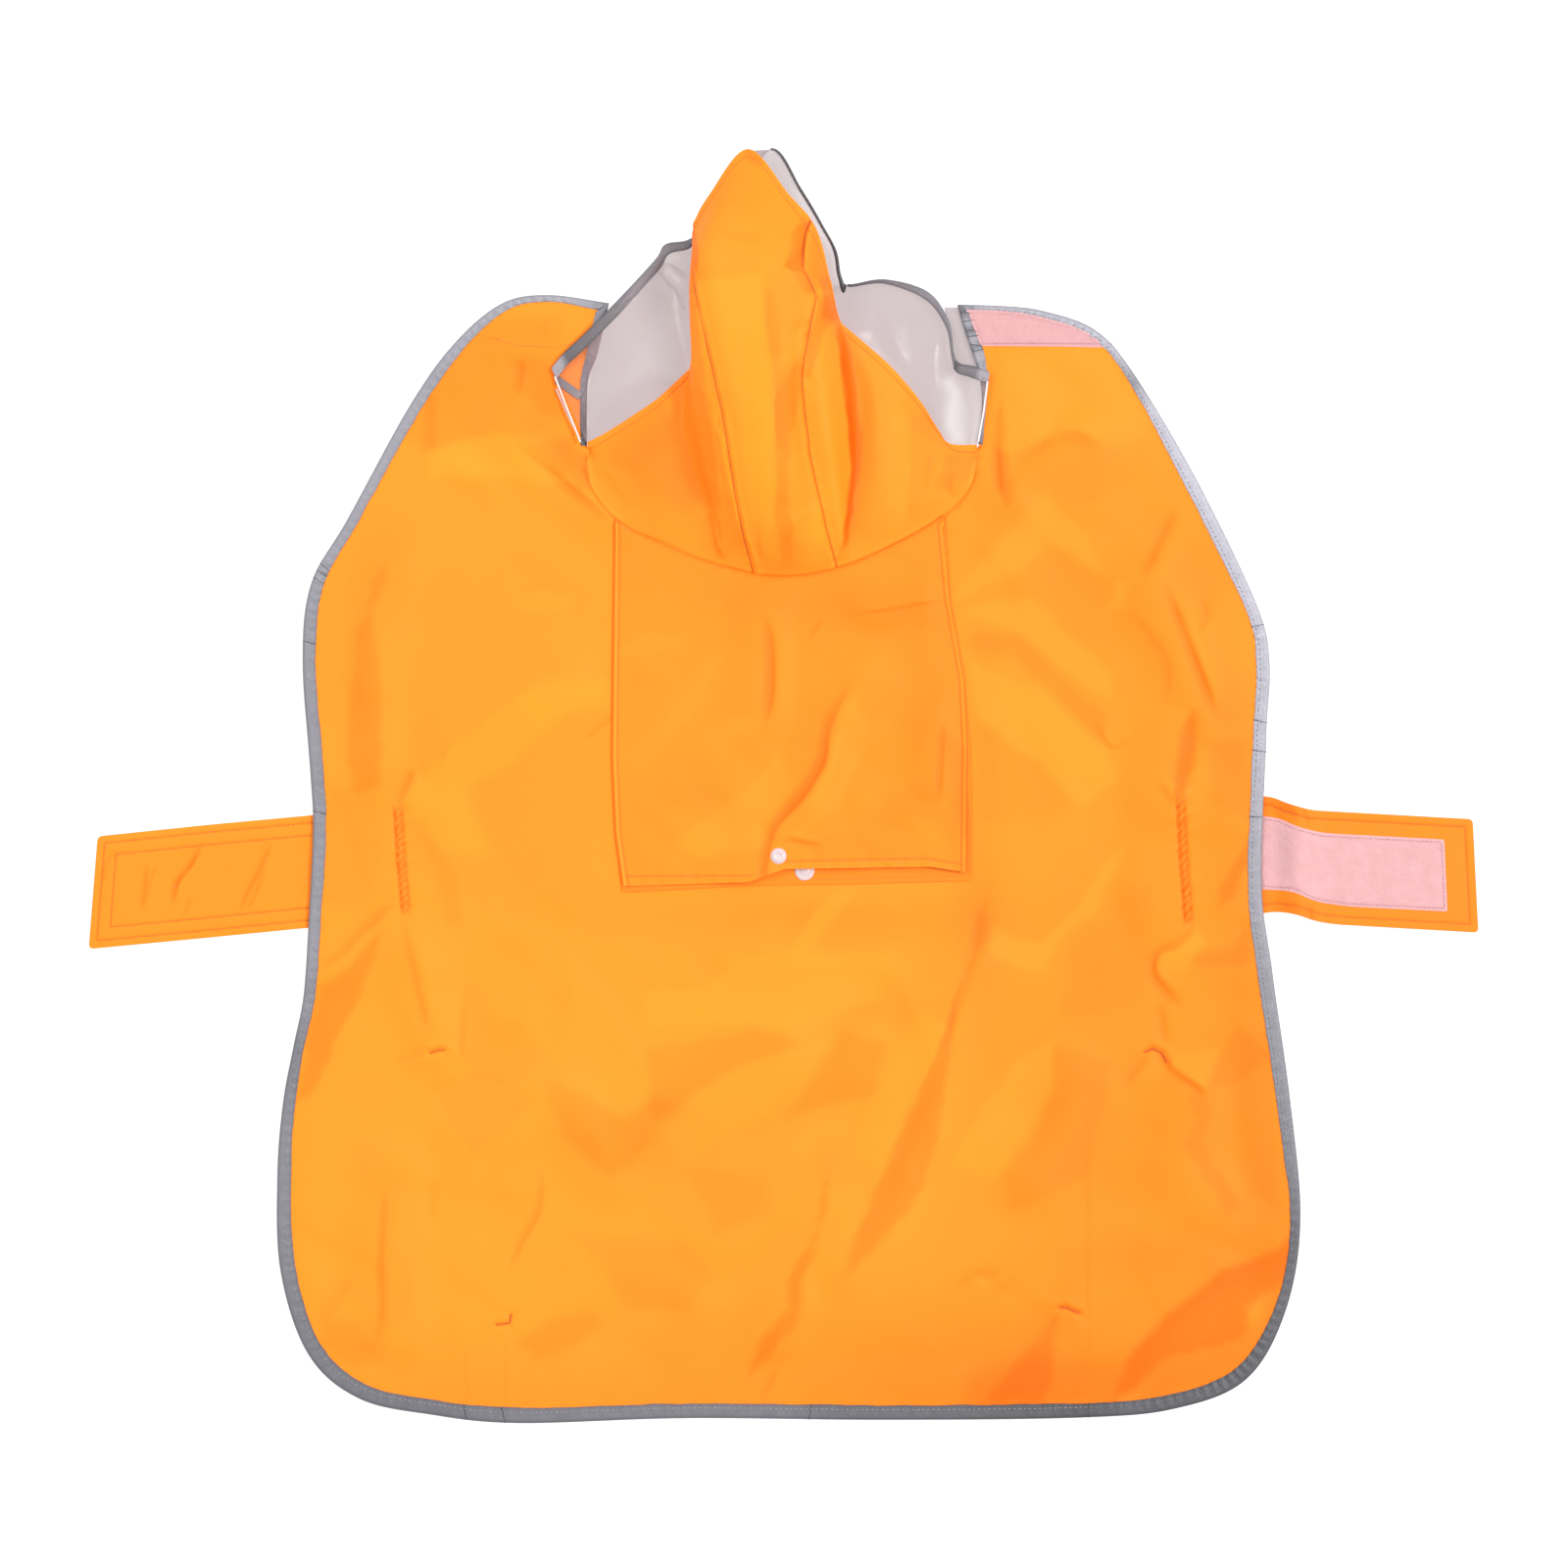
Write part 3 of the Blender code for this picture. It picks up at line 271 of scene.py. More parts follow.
POUCH_FOLDS = table(Fold, [
    ([(-15, 108), (-9, 92), (-8, 60), (-12, 28)], 5, -1.7, 1),
    ([(46, 70), (34, 50), (26, 32), (23, 14), (12, -5), (-3, -22), (-9, -34), (-14, -62), (-18, -84)],
     6, -2.3, 1.4),
    ([(98, 40), (96, 14), (95, -14)], 4.5, -1.6, 0.8),
    ([(-2, -33), (10, -36), (26, -38)], 2.2, -0.9, 0.5),
    ([(40, 103), (70, 107), (104, 114)], 2, -0.9, 0.5),
    ([(24, 102), (14, 87)], 1.8, -0.8, 0.3),
    ([(-96, 96), (-70, 92), (-46, 98)], 9, -0.6, 0.5),
    ([(-70, 20), (-40, -10), (-30, -40)], 14, -0.9, 0.7),
    ([(30, -30), (60, -24), (92, -36)], 12, -0.8, 0.6),
    ([(-88, -20), (-60, -44), (-40, -48)], 10, -0.6, 0.5)])
HOOD_FOLDS = table(Fold, [
    ([(-39, 137), (-23, 153)], 3.5, -0.8, 0.6),
    ([(17.8, 283), (12, 281), (5, 277)], 2.2, -0.9, 0.5),
    ([(17, 347), (13.5, 335), (11, 317)], 1.6, -0.9, 0.3),
    ([(14, 276), (12, 264), (13, 252)], 2.6, 0.9, -0.3),
    ([(-44, 344), (-30, 336), (-12, 334)], 5, -0.5, 0.4),
    ([(-10, 301), (-10, 276), (-9, 250)], 5, -0.3, 0.3),
    ([(-16, 162), (-16, 146), (-14, 134)], 3, -0.5, 0.3),
    ([(20, 176), (22, 156), (24, 138)], 5, 0.9, -0.3),
    ([(60, 206), (72, 180), (74, 158)], 9, -0.6, 0.6),
    ([(92, 205), (86, 186), (90, 172)], 4, -0.4, 0.5),
    ([(106, 192), (101, 182), (104, 174)], 2.5, -0.4, 0.5),
    ([(-96, 206), (-90, 184), (-78, 160)], 10, -0.4, 0.4),
    ([(-112, 196), (-104, 180), (-92, 170)], 6, -0.4, 0.3)])
# The hood's sharp ridges, each with painted shade on its right side.
HOOD_FACETS = table(Facet, [
    ([(34.3, 136.3), (38.3, 167), (40.7, 190.7), (39, 219), (34.5, 254), (33, 282)], 6.5, 0.24, 1.6),
    ([(-56, 257), (-51.5, 247), (-45, 221), (-41, 195), (-39, 176), (-37, 163)], 17, 0.15, 0.8),
    ([(-37, 222), (-42, 245), (-48, 268), (-52, 286)], 5, 0.12, 0.3),
    ([(-6.5, 200), (-5.5, 235), (-6.5, 264)], 9, 0.08, 0.7),
    ([(12.5, 313.2), (5, 314.6), (-1, 317.6)], 5, 0.2, 1.3),
    ([(17.8, 347.4), (14.4, 339), (12.7, 330), (10.8, 317.5)], 3.6, 0.2, 0.6),
    ([(33, 287), (27, 284), (21.5, 283)], 11, 0.04, 0.7),
    ([(22, 284), (24.5, 296), (21, 312)], 7, 0.12, 0.5),
    ([(-55, 341.6), (-53.6, 332.7), (-52.4, 326), (-53.3, 312)], 3, 0.14, 0.7),
    ([(-44, 170), (-40.5, 152), (-35.5, 136.5)], 6, 0.1, 1.3),
    ([(-15.3, 129.5), (-19, 143), (-23.6, 156)], 3, 0.14, 1),
    ([(-1.5, 129), (-2.5, 148), (-3, 166)], 5, 0.02, 0.7),
    ([(-13.5, 378.6), (-19, 383.5), (-24, 387.4)], 4, 0.12, 0.4),
    ([(46, 150), (66, 172), (76, 200)], 9, 0, 0.6),
    ([(76, 160), (78, 200), (78, 232)], 7, 0.05, 0.5),
    ([(88, 182), (87, 194), (88, 206)], 4, 0.06, 0.5)])
# Painted light and shade: facets of the cloth that lie lighter or darker, with their outlines and how soft
# these are.
PANEL_PATCHES = table(Patch, [
    ([(-218, 188), (-214, 205), (-196, 209), (-178, 214), (-163, 212), (-148, 198), (-130, 184),
     (-170, 187)], 0.06, 1.5),
    ([(-238, 215), (-215, 205), (-178, 214), (-160, 212), (-128, 222), (-137, 262), (-135, 285),
     (-180, 285), (-215, 255)], -0.035, 4),
    ([(-220, 240), (-213, 236), (-213, 206), (-219, 204)], -0.05, 1.2),
    ([(-160, 263), (-158, 240), (-148, 226), (-136, 224), (-139, 258)], -0.04, 2.5),
    ([(-152, 206), (-124, 176), (-118, 186), (-128, 214)], -0.05, 3),
    ([(-246, 133), (-251, 118), (-261, 90), (-263, 72), (-267, 45), (-268, 20), (-262, -6), (-246, 0),
     (-245, 50), (-249, 92), (-251, 106), (-244, 122), (-243, 133)], -0.06, 1.2),
    ([(-165, 50), (-140, 64), (-108, 60), (-128, 48), (-150, 34)], 0.025, 2.5),
    ([(-164, 112), (-150, 116), (-128, 114), (-128, 108), (-158, 106)], 0.03, 2),
    ([(-232, -8), (-198, 26), (-160, 54), (-122, 68), (-104, 62), (-106, 48), (-132, 44), (-168, 14),
     (-196, -2), (-180, -44), (-206, -40)], 0.05, 2.5),
    ([(-225, -27), (-214, -34), (-200, -56), (-196, -86), (-205, -86), (-210, -60)], -0.03, 2.5),
    ([(-280, -2), (-252, -2), (-246, -40), (-258, -80), (-282, -70)], -0.025, 4),
    ([(-246, -91), (-252, -112), (-276, -160), (-284, -185), (-298, -197), (-288, -138), (-283, -124),
     (-266, -112), (-254, -97)], -0.075, 1.3),
    ([(-196, -120), (-186, -124), (-178, -142), (-160, -145), (-146, -165), (-130, -188), (-190, -180),
     (-200, -160)], -0.03, 2),
    ([(-242, -230), (-246, -285), (-248, -335), (-230, -330), (-222, -290), (-228, -240)], -0.02, 3),
    ([(-218, -184), (-190, -228), (-152, -193), (-170, -180), (-190, -176)], -0.03, 2.2),
    ([(-147, -186), (-134, -216), (-106, -240), (-88, -228), (-60, -196), (-78, -190), (-100, -205),
     (-124, -186)], -0.04, 2.4),
    ([(-124, -184), (-102, -203), (-78, -188), (-100, -172)], 0.025, 3),
    ([(-134, -274), (-60, -281), (-44, -300), (-60, -322), (-98, -322), (-114, -292)], -0.03, 2.5),
    ([(-164, -342), (-144, -328), (-120, -322), (-112, -330), (-128, -344), (-150, -352)], -0.05, 3),
    ([(-284, -326), (-262, -330), (-246, -350), (-262, -356), (-282, -344)], -0.045, 3),
    ([(-84, -160), (-40, -156), (-20, -150), (2, -152), (12, -160), (-40, -179), (-82, -208)], -0.045, 1.5),
    ([(-84, -128), (-50, -126), (-30, -109), (0, -103), (66, -104), (58, -130), (30, -140), (10, -150),
     (-40, -146), (-84, -150)], 0.045, 2),
    ([(5, -104), (14, -84), (30, -66), (40, -66), (28, -84), (14, -104)], 0.05, 1.5),
    ([(-40, -178), (10, -160), (28, -156), (10, -180), (-14, -204), (-60, -230), (-82, -208)], 0.025, 3),
    ([(0, -204), (20, -176), (36, -150), (62, -160), (56, -190), (30, -196)], -0.05, 2.4),
    ([(100, -150), (82, -188), (58, -234), (42, -226), (60, -184), (84, -140)], 0.035, 2.2),
    ([(108, -120), (98, -150), (88, -175), (68, -220), (50, -262), (36, -302), (48, -290), (78, -260),
     (92, -225), (100, -175)], -0.075, 1.1),
    ([(26, -236), (22, -262), (17, -280), (8, -292), (3, -305), (2, -322), (-8, -333), (-16, -345),
     (-24, -364), (-10, -350), (8, -330), (11, -305), (17, -290), (21, -275), (27, -258)], -0.07, 0.9),
    ([(-60, -236), (-10, -236), (-8, -262), (-40, -276)], -0.03, 3),
    ([(128, -88), (140, -94), (158, -98), (180, -75), (200, -45), (212, -35), (200, -60), (190, -80),
     (172, -92), (162, -105), (160, -118), (130, -108), (122, -100)], 0.04, 1.3),
    ([(208, -60), (200, -80), (175, -98), (170, -142), (195, -142), (222, -130), (226, -62)], -0.02, 2.5),
    ([(118, -78), (128, -84), (124, -104), (116, -98)], -0.04, 2.5),
    ([(101, -232), (140, -172), (166, -156), (165, -188), (148, -216), (130, -242)], 0.035, 1.6),
    ([(166, -160), (160, -206), (134, -240), (140, -262), (186, -240), (200, -170)], -0.03, 2.2),
    ([(319, -272), (292, -290), (268, -297), (236, -324), (214, -345), (202, -374), (214, -372),
     (232, -350), (262, -344), (284, -336), (284, -318), (300, -310), (312, -296)], -0.12, 2),
    ([(216, -378), (232, -350), (284, -336), (300, -310), (318, -290), (300, -340), (270, -368)], -0.07, 4),
    ([(168, -323), (164, -338), (165, -355), (158, -378), (120, -380), (135, -362), (150, -345)],
     -0.06, 1.3),
    ([(110, -380), (112, -362), (150, -350), (206, -356), (206, -382)], -0.06, 5),
    ([(284, -150), (300, -150), (304, -262), (284, -250), (276, -200)], -0.03, 3),
    ([(278, -147), (271, -160), (258, -187), (276, -184), (298, -168), (290, -158)], -0.035, 1.2),
    ([(238, -170), (250, -164), (270, -160), (256, -184)], 0.03, 1.5),
    ([(254, -186), (262, -200), (256, -215), (262, -232), (280, -258), (272, -264), (256, -238),
     (244, -221), (252, -205), (246, -192)], -0.045, 1.4),
    ([(232, -104), (240, -98), (252, -90), (262, -100), (250, -106), (244, -118), (234, -112)], 0.04, 1.2),
    ([(285, -84), (284, -112), (252, -111), (250, -104), (270, -101), (279, -95)], -0.045, 1.2),
    ([(284, -30), (277, -45), (266, -68), (268, -74), (275, -70), (284, -48)], -0.07, 1),
    ([(252, 45), (252, 20), (247, 0), (243, -11), (239, -10), (240, 8), (243, 30), (248, 42)], -0.09, 0.9),
    ([(256, 28), (284, 28), (284, -20), (262, -10)], -0.03, 2.5),
    ([(104, -308), (112, -299), (122, -296), (132, -300), (138, -312), (122, -303)], -0.04, 1.4),
    ([(134, 255), (140, 202), (160, 211), (180, 214), (204, 206), (224, 216), (200, 262), (160, 268)],
     0.02, 3),
    ([(140, 200), (160, 209), (180, 212), (205, 204), (213, 186), (190, 172), (160, 178), (140, 182)],
     -0.015, 1.6),
    ([(131, 206), (139, 200), (140, 178), (136, 167), (132, 180)], -0.06, 1.3),
    ([(104, 112), (112, 126), (158, 178), (166, 172), (186, 150), (198, 128), (186, 130), (172, 142),
     (160, 146), (146, 132), (128, 122)], 0.035, 2),
    ([(150, 132), (172, 142), (196, 126), (200, 86), (178, 84), (152, 110)], -0.01, 3),
    ([(108, 104), (128, 113), (154, 113), (201, 66), (200, 51), (176, 66), (146, 92), (124, 100)],
     0.04, 1.6),
    ([(110, 84), (142, 76), (192, 26), (198, 40), (170, 66), (146, 90), (116, 94)], -0.04, 2),
    ([(113, 76), (128, 68), (160, 55), (196, 22), (202, 0), (182, -12), (150, 19), (118, 40)], 0.045, 1.5),
    ([(118, 38), (150, 18), (180, -12), (160, -30), (118, -20)], -0.02, 3),
    ([(200, 108), (204, 124), (210, 122), (209, 108)], 0.05, 1.5)])
# Painted shade and light in the pouch's facets.
POUCH_PATCHES = table(Patch, [
    ([(-110, 170), (110, 170), (110, 98), (50, 100), (0, 104), (-60, 108), (-104, 118)], -0.02, 5),
    ([(-102, 80), (-84, 94), (-58, 92), (-62, 84), (-84, 78)], 0.035, 2),
    ([(-96, 14), (-60, 54), (-44, 80), (-36, 78), (-54, 44), (-84, 10)], 0.025, 2.5),
    ([(-46, -20), (-14, 6), (-2, 20), (6, -6), (-6, -24), (-10, -38), (-54, -44), (-66, -36)], 0.045, 1.8),
    ([(-76, 0), (-50, 2), (-34, -6), (-50, -14), (-74, -12)], -0.02, 3),
    ([(-34, 40), (-18, 42), (-20, 30), (-36, 28)], 0.04, 2.5),
    ([(30, 46), (44, 56), (52, 30), (34, -14), (8, -30), (20, -6), (28, 20)], 0.04, 1.8),
    ([(58, -6), (92, 2), (98, -20), (80, -24), (60, -20)], -0.03, 3),
    ([(92, 38), (98, 34), (100, 0), (113, -40), (113, 20), (104, 30)], -0.05, 2),
    ([(70, -18), (86, -22), (106, -40), (88, -36)], 0.03, 2),
    ([(10, -34), (50, -32), (92, -44), (20, -47)], -0.03, 3)])
# Soft ovals of painted shade and light: for the panel, the pouch and the hood.
PANEL_SHADES = table(Shade, [
    (285, -130, 130, 26, 90, -0.07), (150, -370, 160, 56, 0, -0.1), (-100, -370, 260, 46, 0, -0.05),
    (170, -160, 60, 150, 0, -0.05), (-100, -215, 90, 26, 10, -0.045), (240, -230, 80, 50, 70, -0.03),
    (170, -270, 120, 60, 60, -0.025), (-130, 200, 40, 9, -42, -0.07), (30, -82, 110, 15, 0, -0.06),
    (306, -270, 30, 60, 0, -0.08), (-150, -330, 70, 40, 0, 0.03), (-190, 260, 50, 24, 30, -0.02),
    (0, -150, 110, 30, 8, 0.02), (170, 150, 90, 90, 20, -0.055), (250, -20, 70, 240, 0, -0.05),
    (-180, 30, 90, 90, 0, -0.03), (-170, -150, 90, 60, 0, 0.03), (-190, -250, 90, 70, 0, 0.04),
    (120, -95, 18, 60, 0, -0.07), (121, 40, 10, 80, 0, -0.04), (255, 130, 24, 30, 0, -0.04),
    (272, 40, 14, 30, 0, -0.06), (-242, 140, 24, 40, 0, -0.035), (28, -232, 10, 14, 0, -0.06),
    (66, -140, 30, 14, 0, -0.045), (255, -285, 40, 22, 20, -0.05), (205, -288, 40, 12, 0, -0.035),
    (30, -120, 40, 24, 0, -0.02)])
POUCH_SHADES = table(Shade, [
    (40, 104, 70, 22, 0, -0.045), (92, 50, 24, 60, 0, -0.045), (30, 30, 22, 26, 0, -0.02),
    (60, -20, 50, 20, 0, -0.025), (-30, -22, 40, 12, 0, -0.02), (-50, -30, 40, 20, 20, 0.02),
    (108, -20, 50, 7, 84, -0.05)])
HOOD_SHADES = table(Shade, [
    (-84, 212, 30, 18, 35, -0.1), (-70, 190, 30, 24, 30, -0.05), (-32, 320, 22, 34, 0, 0.05),
    (-46, 150, 22, 12, -50, -0.04), (-61, 192, 10, 22, 0, -0.04), (92, 220, 18, 9, -50, -0.09),
    (-30, 268, 13, 24, 0, 0.045), (2, 131, 7, 8, 0, 0.05), (30, 281, 5, 9, 0, -0.05),
    (-18, 356, 36, 36, 0, -0.04), (-84, 180, 40, 26, -36, -0.05)])
# Painted shade and light in the hood's facets.
HOOD_PATCHES = table(Patch, [
    ([(-54, 308), (-12, 312), (-10, 264), (-6, 200), (-5, 132), (-20, 132), (-26, 176), (-44, 262)],
     0.11, 2.5),
    ([(-1, 131), (-5, 165), (-6, 200), (-6, 235), (0, 247), (10, 266), (15, 284), (18, 298), (17, 275),
     (10, 245), (6, 225), (3, 200), (2, 180), (5, 160), (7, 131)], -0.08, 1.1),
    ([(12, 131), (10, 150), (17, 168), (27, 160), (32, 131)], 0.06, 2),
    ([(-12, 304), (-11, 275), (-7, 254), (-3, 260), (-1, 282), (-6, 302)], -0.06, 1.6),
    ([(-53, 290), (-50.5, 262), (-47, 240), (-42.5, 220), (-37.5, 200), (-33, 180), (-29.5, 162),
     (-28, 162), (-30.8, 180), (-34.8, 200), (-39.5, 220), (-43.5, 240), (-47.5, 262), (-51, 290)],
     0.22, 0.6),
    ([(13, 250), (15, 268), (18.5, 284), (21, 298), (29, 300), (33, 286), (27, 282), (23, 272), (20, 260),
     (17, 250)], -0.12, 1.2),
    ([(32, 283), (34, 262), (38, 240), (40, 215), (40, 185), (37, 160), (33, 138), (38, 150), (43, 170),
     (47, 195), (47, 215), (44, 242), (38, 274)], -0.16, 0.9),
    ([(-10, 264), (-11, 312), (2, 314), (17, 305), (12, 286), (2, 262)], -0.03, 2.5),
    ([(14, 262), (12, 245), (13, 220), (20, 185), (33, 136), (37, 137), (41, 190), (39, 220), (33, 255),
     (30, 280), (20, 282)], 0.03, 1.5),
    ([(20, 180), (33, 136), (38, 160), (40, 190)], 0.03, 3),
    ([(44, 150), (48, 210), (44, 262), (60, 250), (98, 212), (118, 205), (112, 185), (90, 165), (60, 148)],
     -0.03, 5),
    ([(64, 155), (64, 240), (76, 226), (76, 160)], 0.03, 3),
    ([(99, 202), (118, 200), (117, 190), (104, 179), (92, 182)], -0.07, 1.8),
    ([(0, 319), (12, 315.5), (13, 335), (17, 347), (8, 341), (3, 329)], -0.1, 1),
    ([(2, 316), (12, 313), (18, 305), (20, 297), (15, 301), (8, 308)], -0.08, 1),
    ([(15, 303), (13, 318), (19, 345), (24, 322), (28, 303)], -0.1, 1.5),
    ([(-58, 342), (-54.5, 342), (-52, 326), (-53, 300), (-59, 300)], -0.08, 1),
    ([(-57, 290), (-58, 256), (-46, 245), (-40, 215), (-33, 165), (-24, 158), (-32, 195), (-44, 259),
     (-52, 292)], 0.12, 2),
    ([(-118, 196), (-106, 172), (-64, 150), (-44, 141), (-50, 156), (-74, 176), (-96, 192)], 0.03, 4),
    ([(-36, 138), (-24, 156), (-17, 132)], 0.08, 1.5),
    ([(-74, 236), (-58, 252), (-46, 244), (-42, 215), (-38, 170), (-40, 140), (-46, 160), (-60, 190)],
     0.13, 3),
    ([(-25, 388), (-18, 384), (-13, 377), (-20, 380)], -0.08, 1)])
STRAP_FOLDS = table(Fold, [
    ([(-355, -34), (-362.5, -49), (-372, -62), (-374, -78)], 2.4, -1.3, 0.6),
    ([(-312, -32), (-320, -51), (-328.7, -68), (-334, -82)], 2.2, -1.3, 0.6),
    ([(-316, -50), (-325.5, -72), (-329, -80)], 1.6, -0.9, 0.4),
    ([(-389, -46), (-391, -64), (-393, -80)], 2.4, -1, 0.5),
    ([(-383, -48), (-388, -62), (-389, -72)], 1.6, -0.7, 0.3),
    ([(-362, -68), (-368, -82)], 1.6, -0.7, 0.3),
    ([(-404, -40), (-414, -48), (-418, -64)], 2, -0.7, 0.4),
    ([(306, -8), (309, -14), (314, -22)], 2, -0.7, 0.5),
    ([(316, -12), (320, -20), (322, -27)], 1.6, -0.8, 0.4),
    ([(321, -72), (323, -80), (322, -88)], 1.8, -0.8, 0.4)])
# Painted shade where the right strap curves.
STRAP_SHADES = [Shade(304, -14, 14, 7, -20, -0.08), Shade(310, -76, 18, 7, -20, -0.08)]
# How much clearer (below 0) or denser (above 0) the film lies in patches: some set how much shows through
# it, the clear streak at its right end is a painted highlight, and the dense thin lines along its creases
# are painted shade.
FILM_PATCHES = table(Patch, [
    ([(-146, 262), (-118, 280), (-121, 250), (-122, 204), (-127, 204)], -0.42, 1.2),
    ([(100, 208), (100, 235), (98, 248), (105, 250), (109, 235), (110, 208)], -0.26, 3),
    ([(112, 206), (114, 250), (124, 250), (121, 206)], -0.08, 2),
    ([(-112, 230), (-92, 262), (-74, 290), (-65, 272), (-67, 250), (-84, 240)], -0.07, 6),
    ([(-74.5, 321), (-66, 315.5), (-58.5, 312.5), (-59, 311), (-67, 313.5), (-76, 319)], 0.22, 0.8),
    ([(-76, 314), (-67, 303), (-60, 291), (-61.5, 291), (-69, 303), (-78, 313)], 0.18, 0.8),
    ([(-22, 384), (-4, 392), (12, 366), (4, 364), (-10, 376)], 0.28, 2.5),
    ([(-66, 300), (-60, 330), (-70, 328), (-84, 306)], -0.06, 4),
    ([(-118, 214), (-100, 226), (-70, 246), (-84, 250), (-116, 230)], 0.1, 5)])
# Where the film's ends are rolled under: the line, how much denser and paler it is (the roll's own
# thickness, with a painted highlight along the fold), and its radius.
FILM_ROLLS = [
    ([(-139.8, 248.6, 7.2), (-132.6, 229.6, 6.8), (-124.2, 208.8, 6)], 1, 0.6),
    ([(-139.2, 241.3, 5.6), (-133, 227, 5.2), (-126, 213.3, 4.6)], 0.8, 0.45),
    ([(124.2, 245.6, 7.4), (121.9, 228, 6.8), (118.6, 208.8, 6)], 1, 0.6)]
FILM_FOLDS = table(Fold, [
    ([(-76, 321), (-66, 315), (-58, 311)], 2.5, -1, 0.8),
    ([(-77, 314), (-68, 303), (-60, 291)], 2.5, -1, 0.8),
    ([(-90, 240), (-84, 230), (-77, 226)], 2.5, 0.5, -0.3),
    ([(8, 372), (0, 376), (-8, 384)], 2.5, 0.8, -0.4),
    ([(56, 300), (70, 270), (78, 250)], 5, 0.7, -0.4),
    ([(98, 286), (92, 262), (94, 236)], 4, 0.8, -0.4)])


# ---------------------------------------------------------------- curves and distances in plan

def xy_of(points):
    return np.array([(p[0], p[1]) for p in points], float)


def spline(points, parts):
    """A Catmull-Rom curve through the points, with this many parts from each to the next."""
    knots = np.array([tuple(p) for p in points], float)
    knots = np.vstack([2 * knots[0] - knots[1], knots, 2 * knots[-1] - knots[-2]])
    t = (np.arange(parts) / parts)[:, None]
    curve = []
    for a, b, c, d in zip(knots, knots[1:], knots[2:], knots[3:]):
        curve.append(0.5 * (2 * b + (c - a) * t + (2 * a - 5 * b + 4 * c - d) * t ** 2
                            + (3 * b - a - 3 * c + d) * t ** 3))
    return np.vstack(curve + [knots[-2]])


def lengths_along(curve):
    steps = np.linalg.norm(np.diff(curve, axis=0), axis=1)
    return np.concatenate([[0.0], np.cumsum(steps)])


def points_at(curve, fractions):
    total = lengths_along(curve)
    targets = np.asarray(fractions) * total[-1]
    return np.stack([np.interp(targets, total, curve[:, k]) for k in range(curve.shape[1])], axis=1)


def evenly(points, step, parts=12):
    """Points of the smooth curve through these, one step apart, both ends kept."""
    curve = spline(points, parts)
    count = max(2, round(lengths_along(curve)[-1] / step))
    return points_at(curve, np.linspace(0, 1, count + 1))


def straight(points, step):
    """Points along the straight runs between these, about one step apart."""
    line = np.array([tuple(p) for p in points], float)
    count = max(2, round(lengths_along(line)[-1] / step))
    return points_at(line, np.linspace(0, 1, count + 1))


def left_normals(curve):
    run = np.gradient(curve[:, :2], axis=0)
    run /= np.linalg.norm(run, axis=1)[:, None]
    return np.stack([-run[:, 1], run[:, 0]], axis=1)


def closed(loop):
    return list(loop) + [loop[0]]


def near(xy, path):
    """For each point: its distance to a path, its place along it from 0 to 1, and its side."""
    path = xy_of(path)
    total = lengths_along(path)
    best = np.full(len(xy), np.inf)
    place = np.zeros(len(xy))
    side = np.ones(len(xy))
    for i, (a, b) in enumerate(zip(path, path[1:])):
        run = b - a
        length = max(1e-9, np.hypot(*run))
        reach = xy - a
        share = np.clip(reach @ run / length ** 2, 0, 1)
        apart = np.linalg.norm(reach - share[:, None] * run, axis=1)
        closer = apart < best
        best[closer] = apart[closer]
        place[closer] = (total[i] + share[closer] * length) / total[-1]
        side[closer] = np.sign(run[0] * reach[closer, 1] - run[1] * reach[closer, 0])
    return best, place, side


def inside(xy, loop):
    odd = np.zeros(len(xy), bool)
    for a, b in zip(xy_of(loop), xy_of(closed(loop)[1:])):
        if a[1] != b[1]:
            crosses = (a[1] > xy[:, 1]) != (b[1] > xy[:, 1])
            odd ^= crosses & (xy[:, 0] < (b[0] - a[0]) * (xy[:, 1] - a[1]) / (b[1] - a[1]) + a[0])
    return odd


def away_from(xy, loop):
    """Distance from a closed patch, 0 inside it."""
    apart = near(xy, closed(loop))[0]
    apart[inside(xy, loop)] = 0
    return apart


def ramp(distance, full, none):
    """1 up to the first distance, falling smoothly to 0 at the second."""
    share = np.clip((distance - full) / (none - full), 0, 1)
    return 0.5 + 0.5 * np.cos(np.pi * share)


def bell(distance, middle, width):
    """1 at the middle, falling evenly to nothing about two widths to either side."""
    return np.exp(-((distance - middle) / width) ** 2)


def drop(distance, soft):
    """1 well before zero distance and 0 well after it, softly between."""
    return 1 / (1 + np.exp(np.clip(distance / soft, -30, 30)))


def waves(xy, size, seed):
    """Smooth uneven waves, about -1 to 1, that repeat nowhere near."""
    grid = np.random.default_rng(seed).uniform(-1, 1, (64, 64))
    spot = xy / size + 31.5
    cell = np.floor(spot).astype(int)
    part = spot - cell
    part = part * part * (3 - 2 * part)
    x0, y0 = cell[:, 0] % 64, cell[:, 1] % 64
    x1, y1 = (x0 + 1) % 64, (y0 + 1) % 64
    low = grid[x0, y0] * (1 - part[:, 0]) + grid[x1, y0] * part[:, 0]
    high = grid[x0, y1] * (1 - part[:, 0]) + grid[x1, y1] * part[:, 0]
    return low * (1 - part[:, 1]) + high * part[:, 1]


# ---------------------------------------------------------------- heights of cloth

def ridge_height(xy, ridges):
    height = np.zeros(len(xy))
    for r in ridges:
        apart = near(xy, [(r.x1, r.y1), (r.x2, r.y2)])[0]
        height = np.maximum(height, r.height * ramp(apart, 0, r.width))
    return height


def fold_line(fold):
    return spline(fold.path, 6) if len(fold.path) > 2 else xy_of(fold.path)


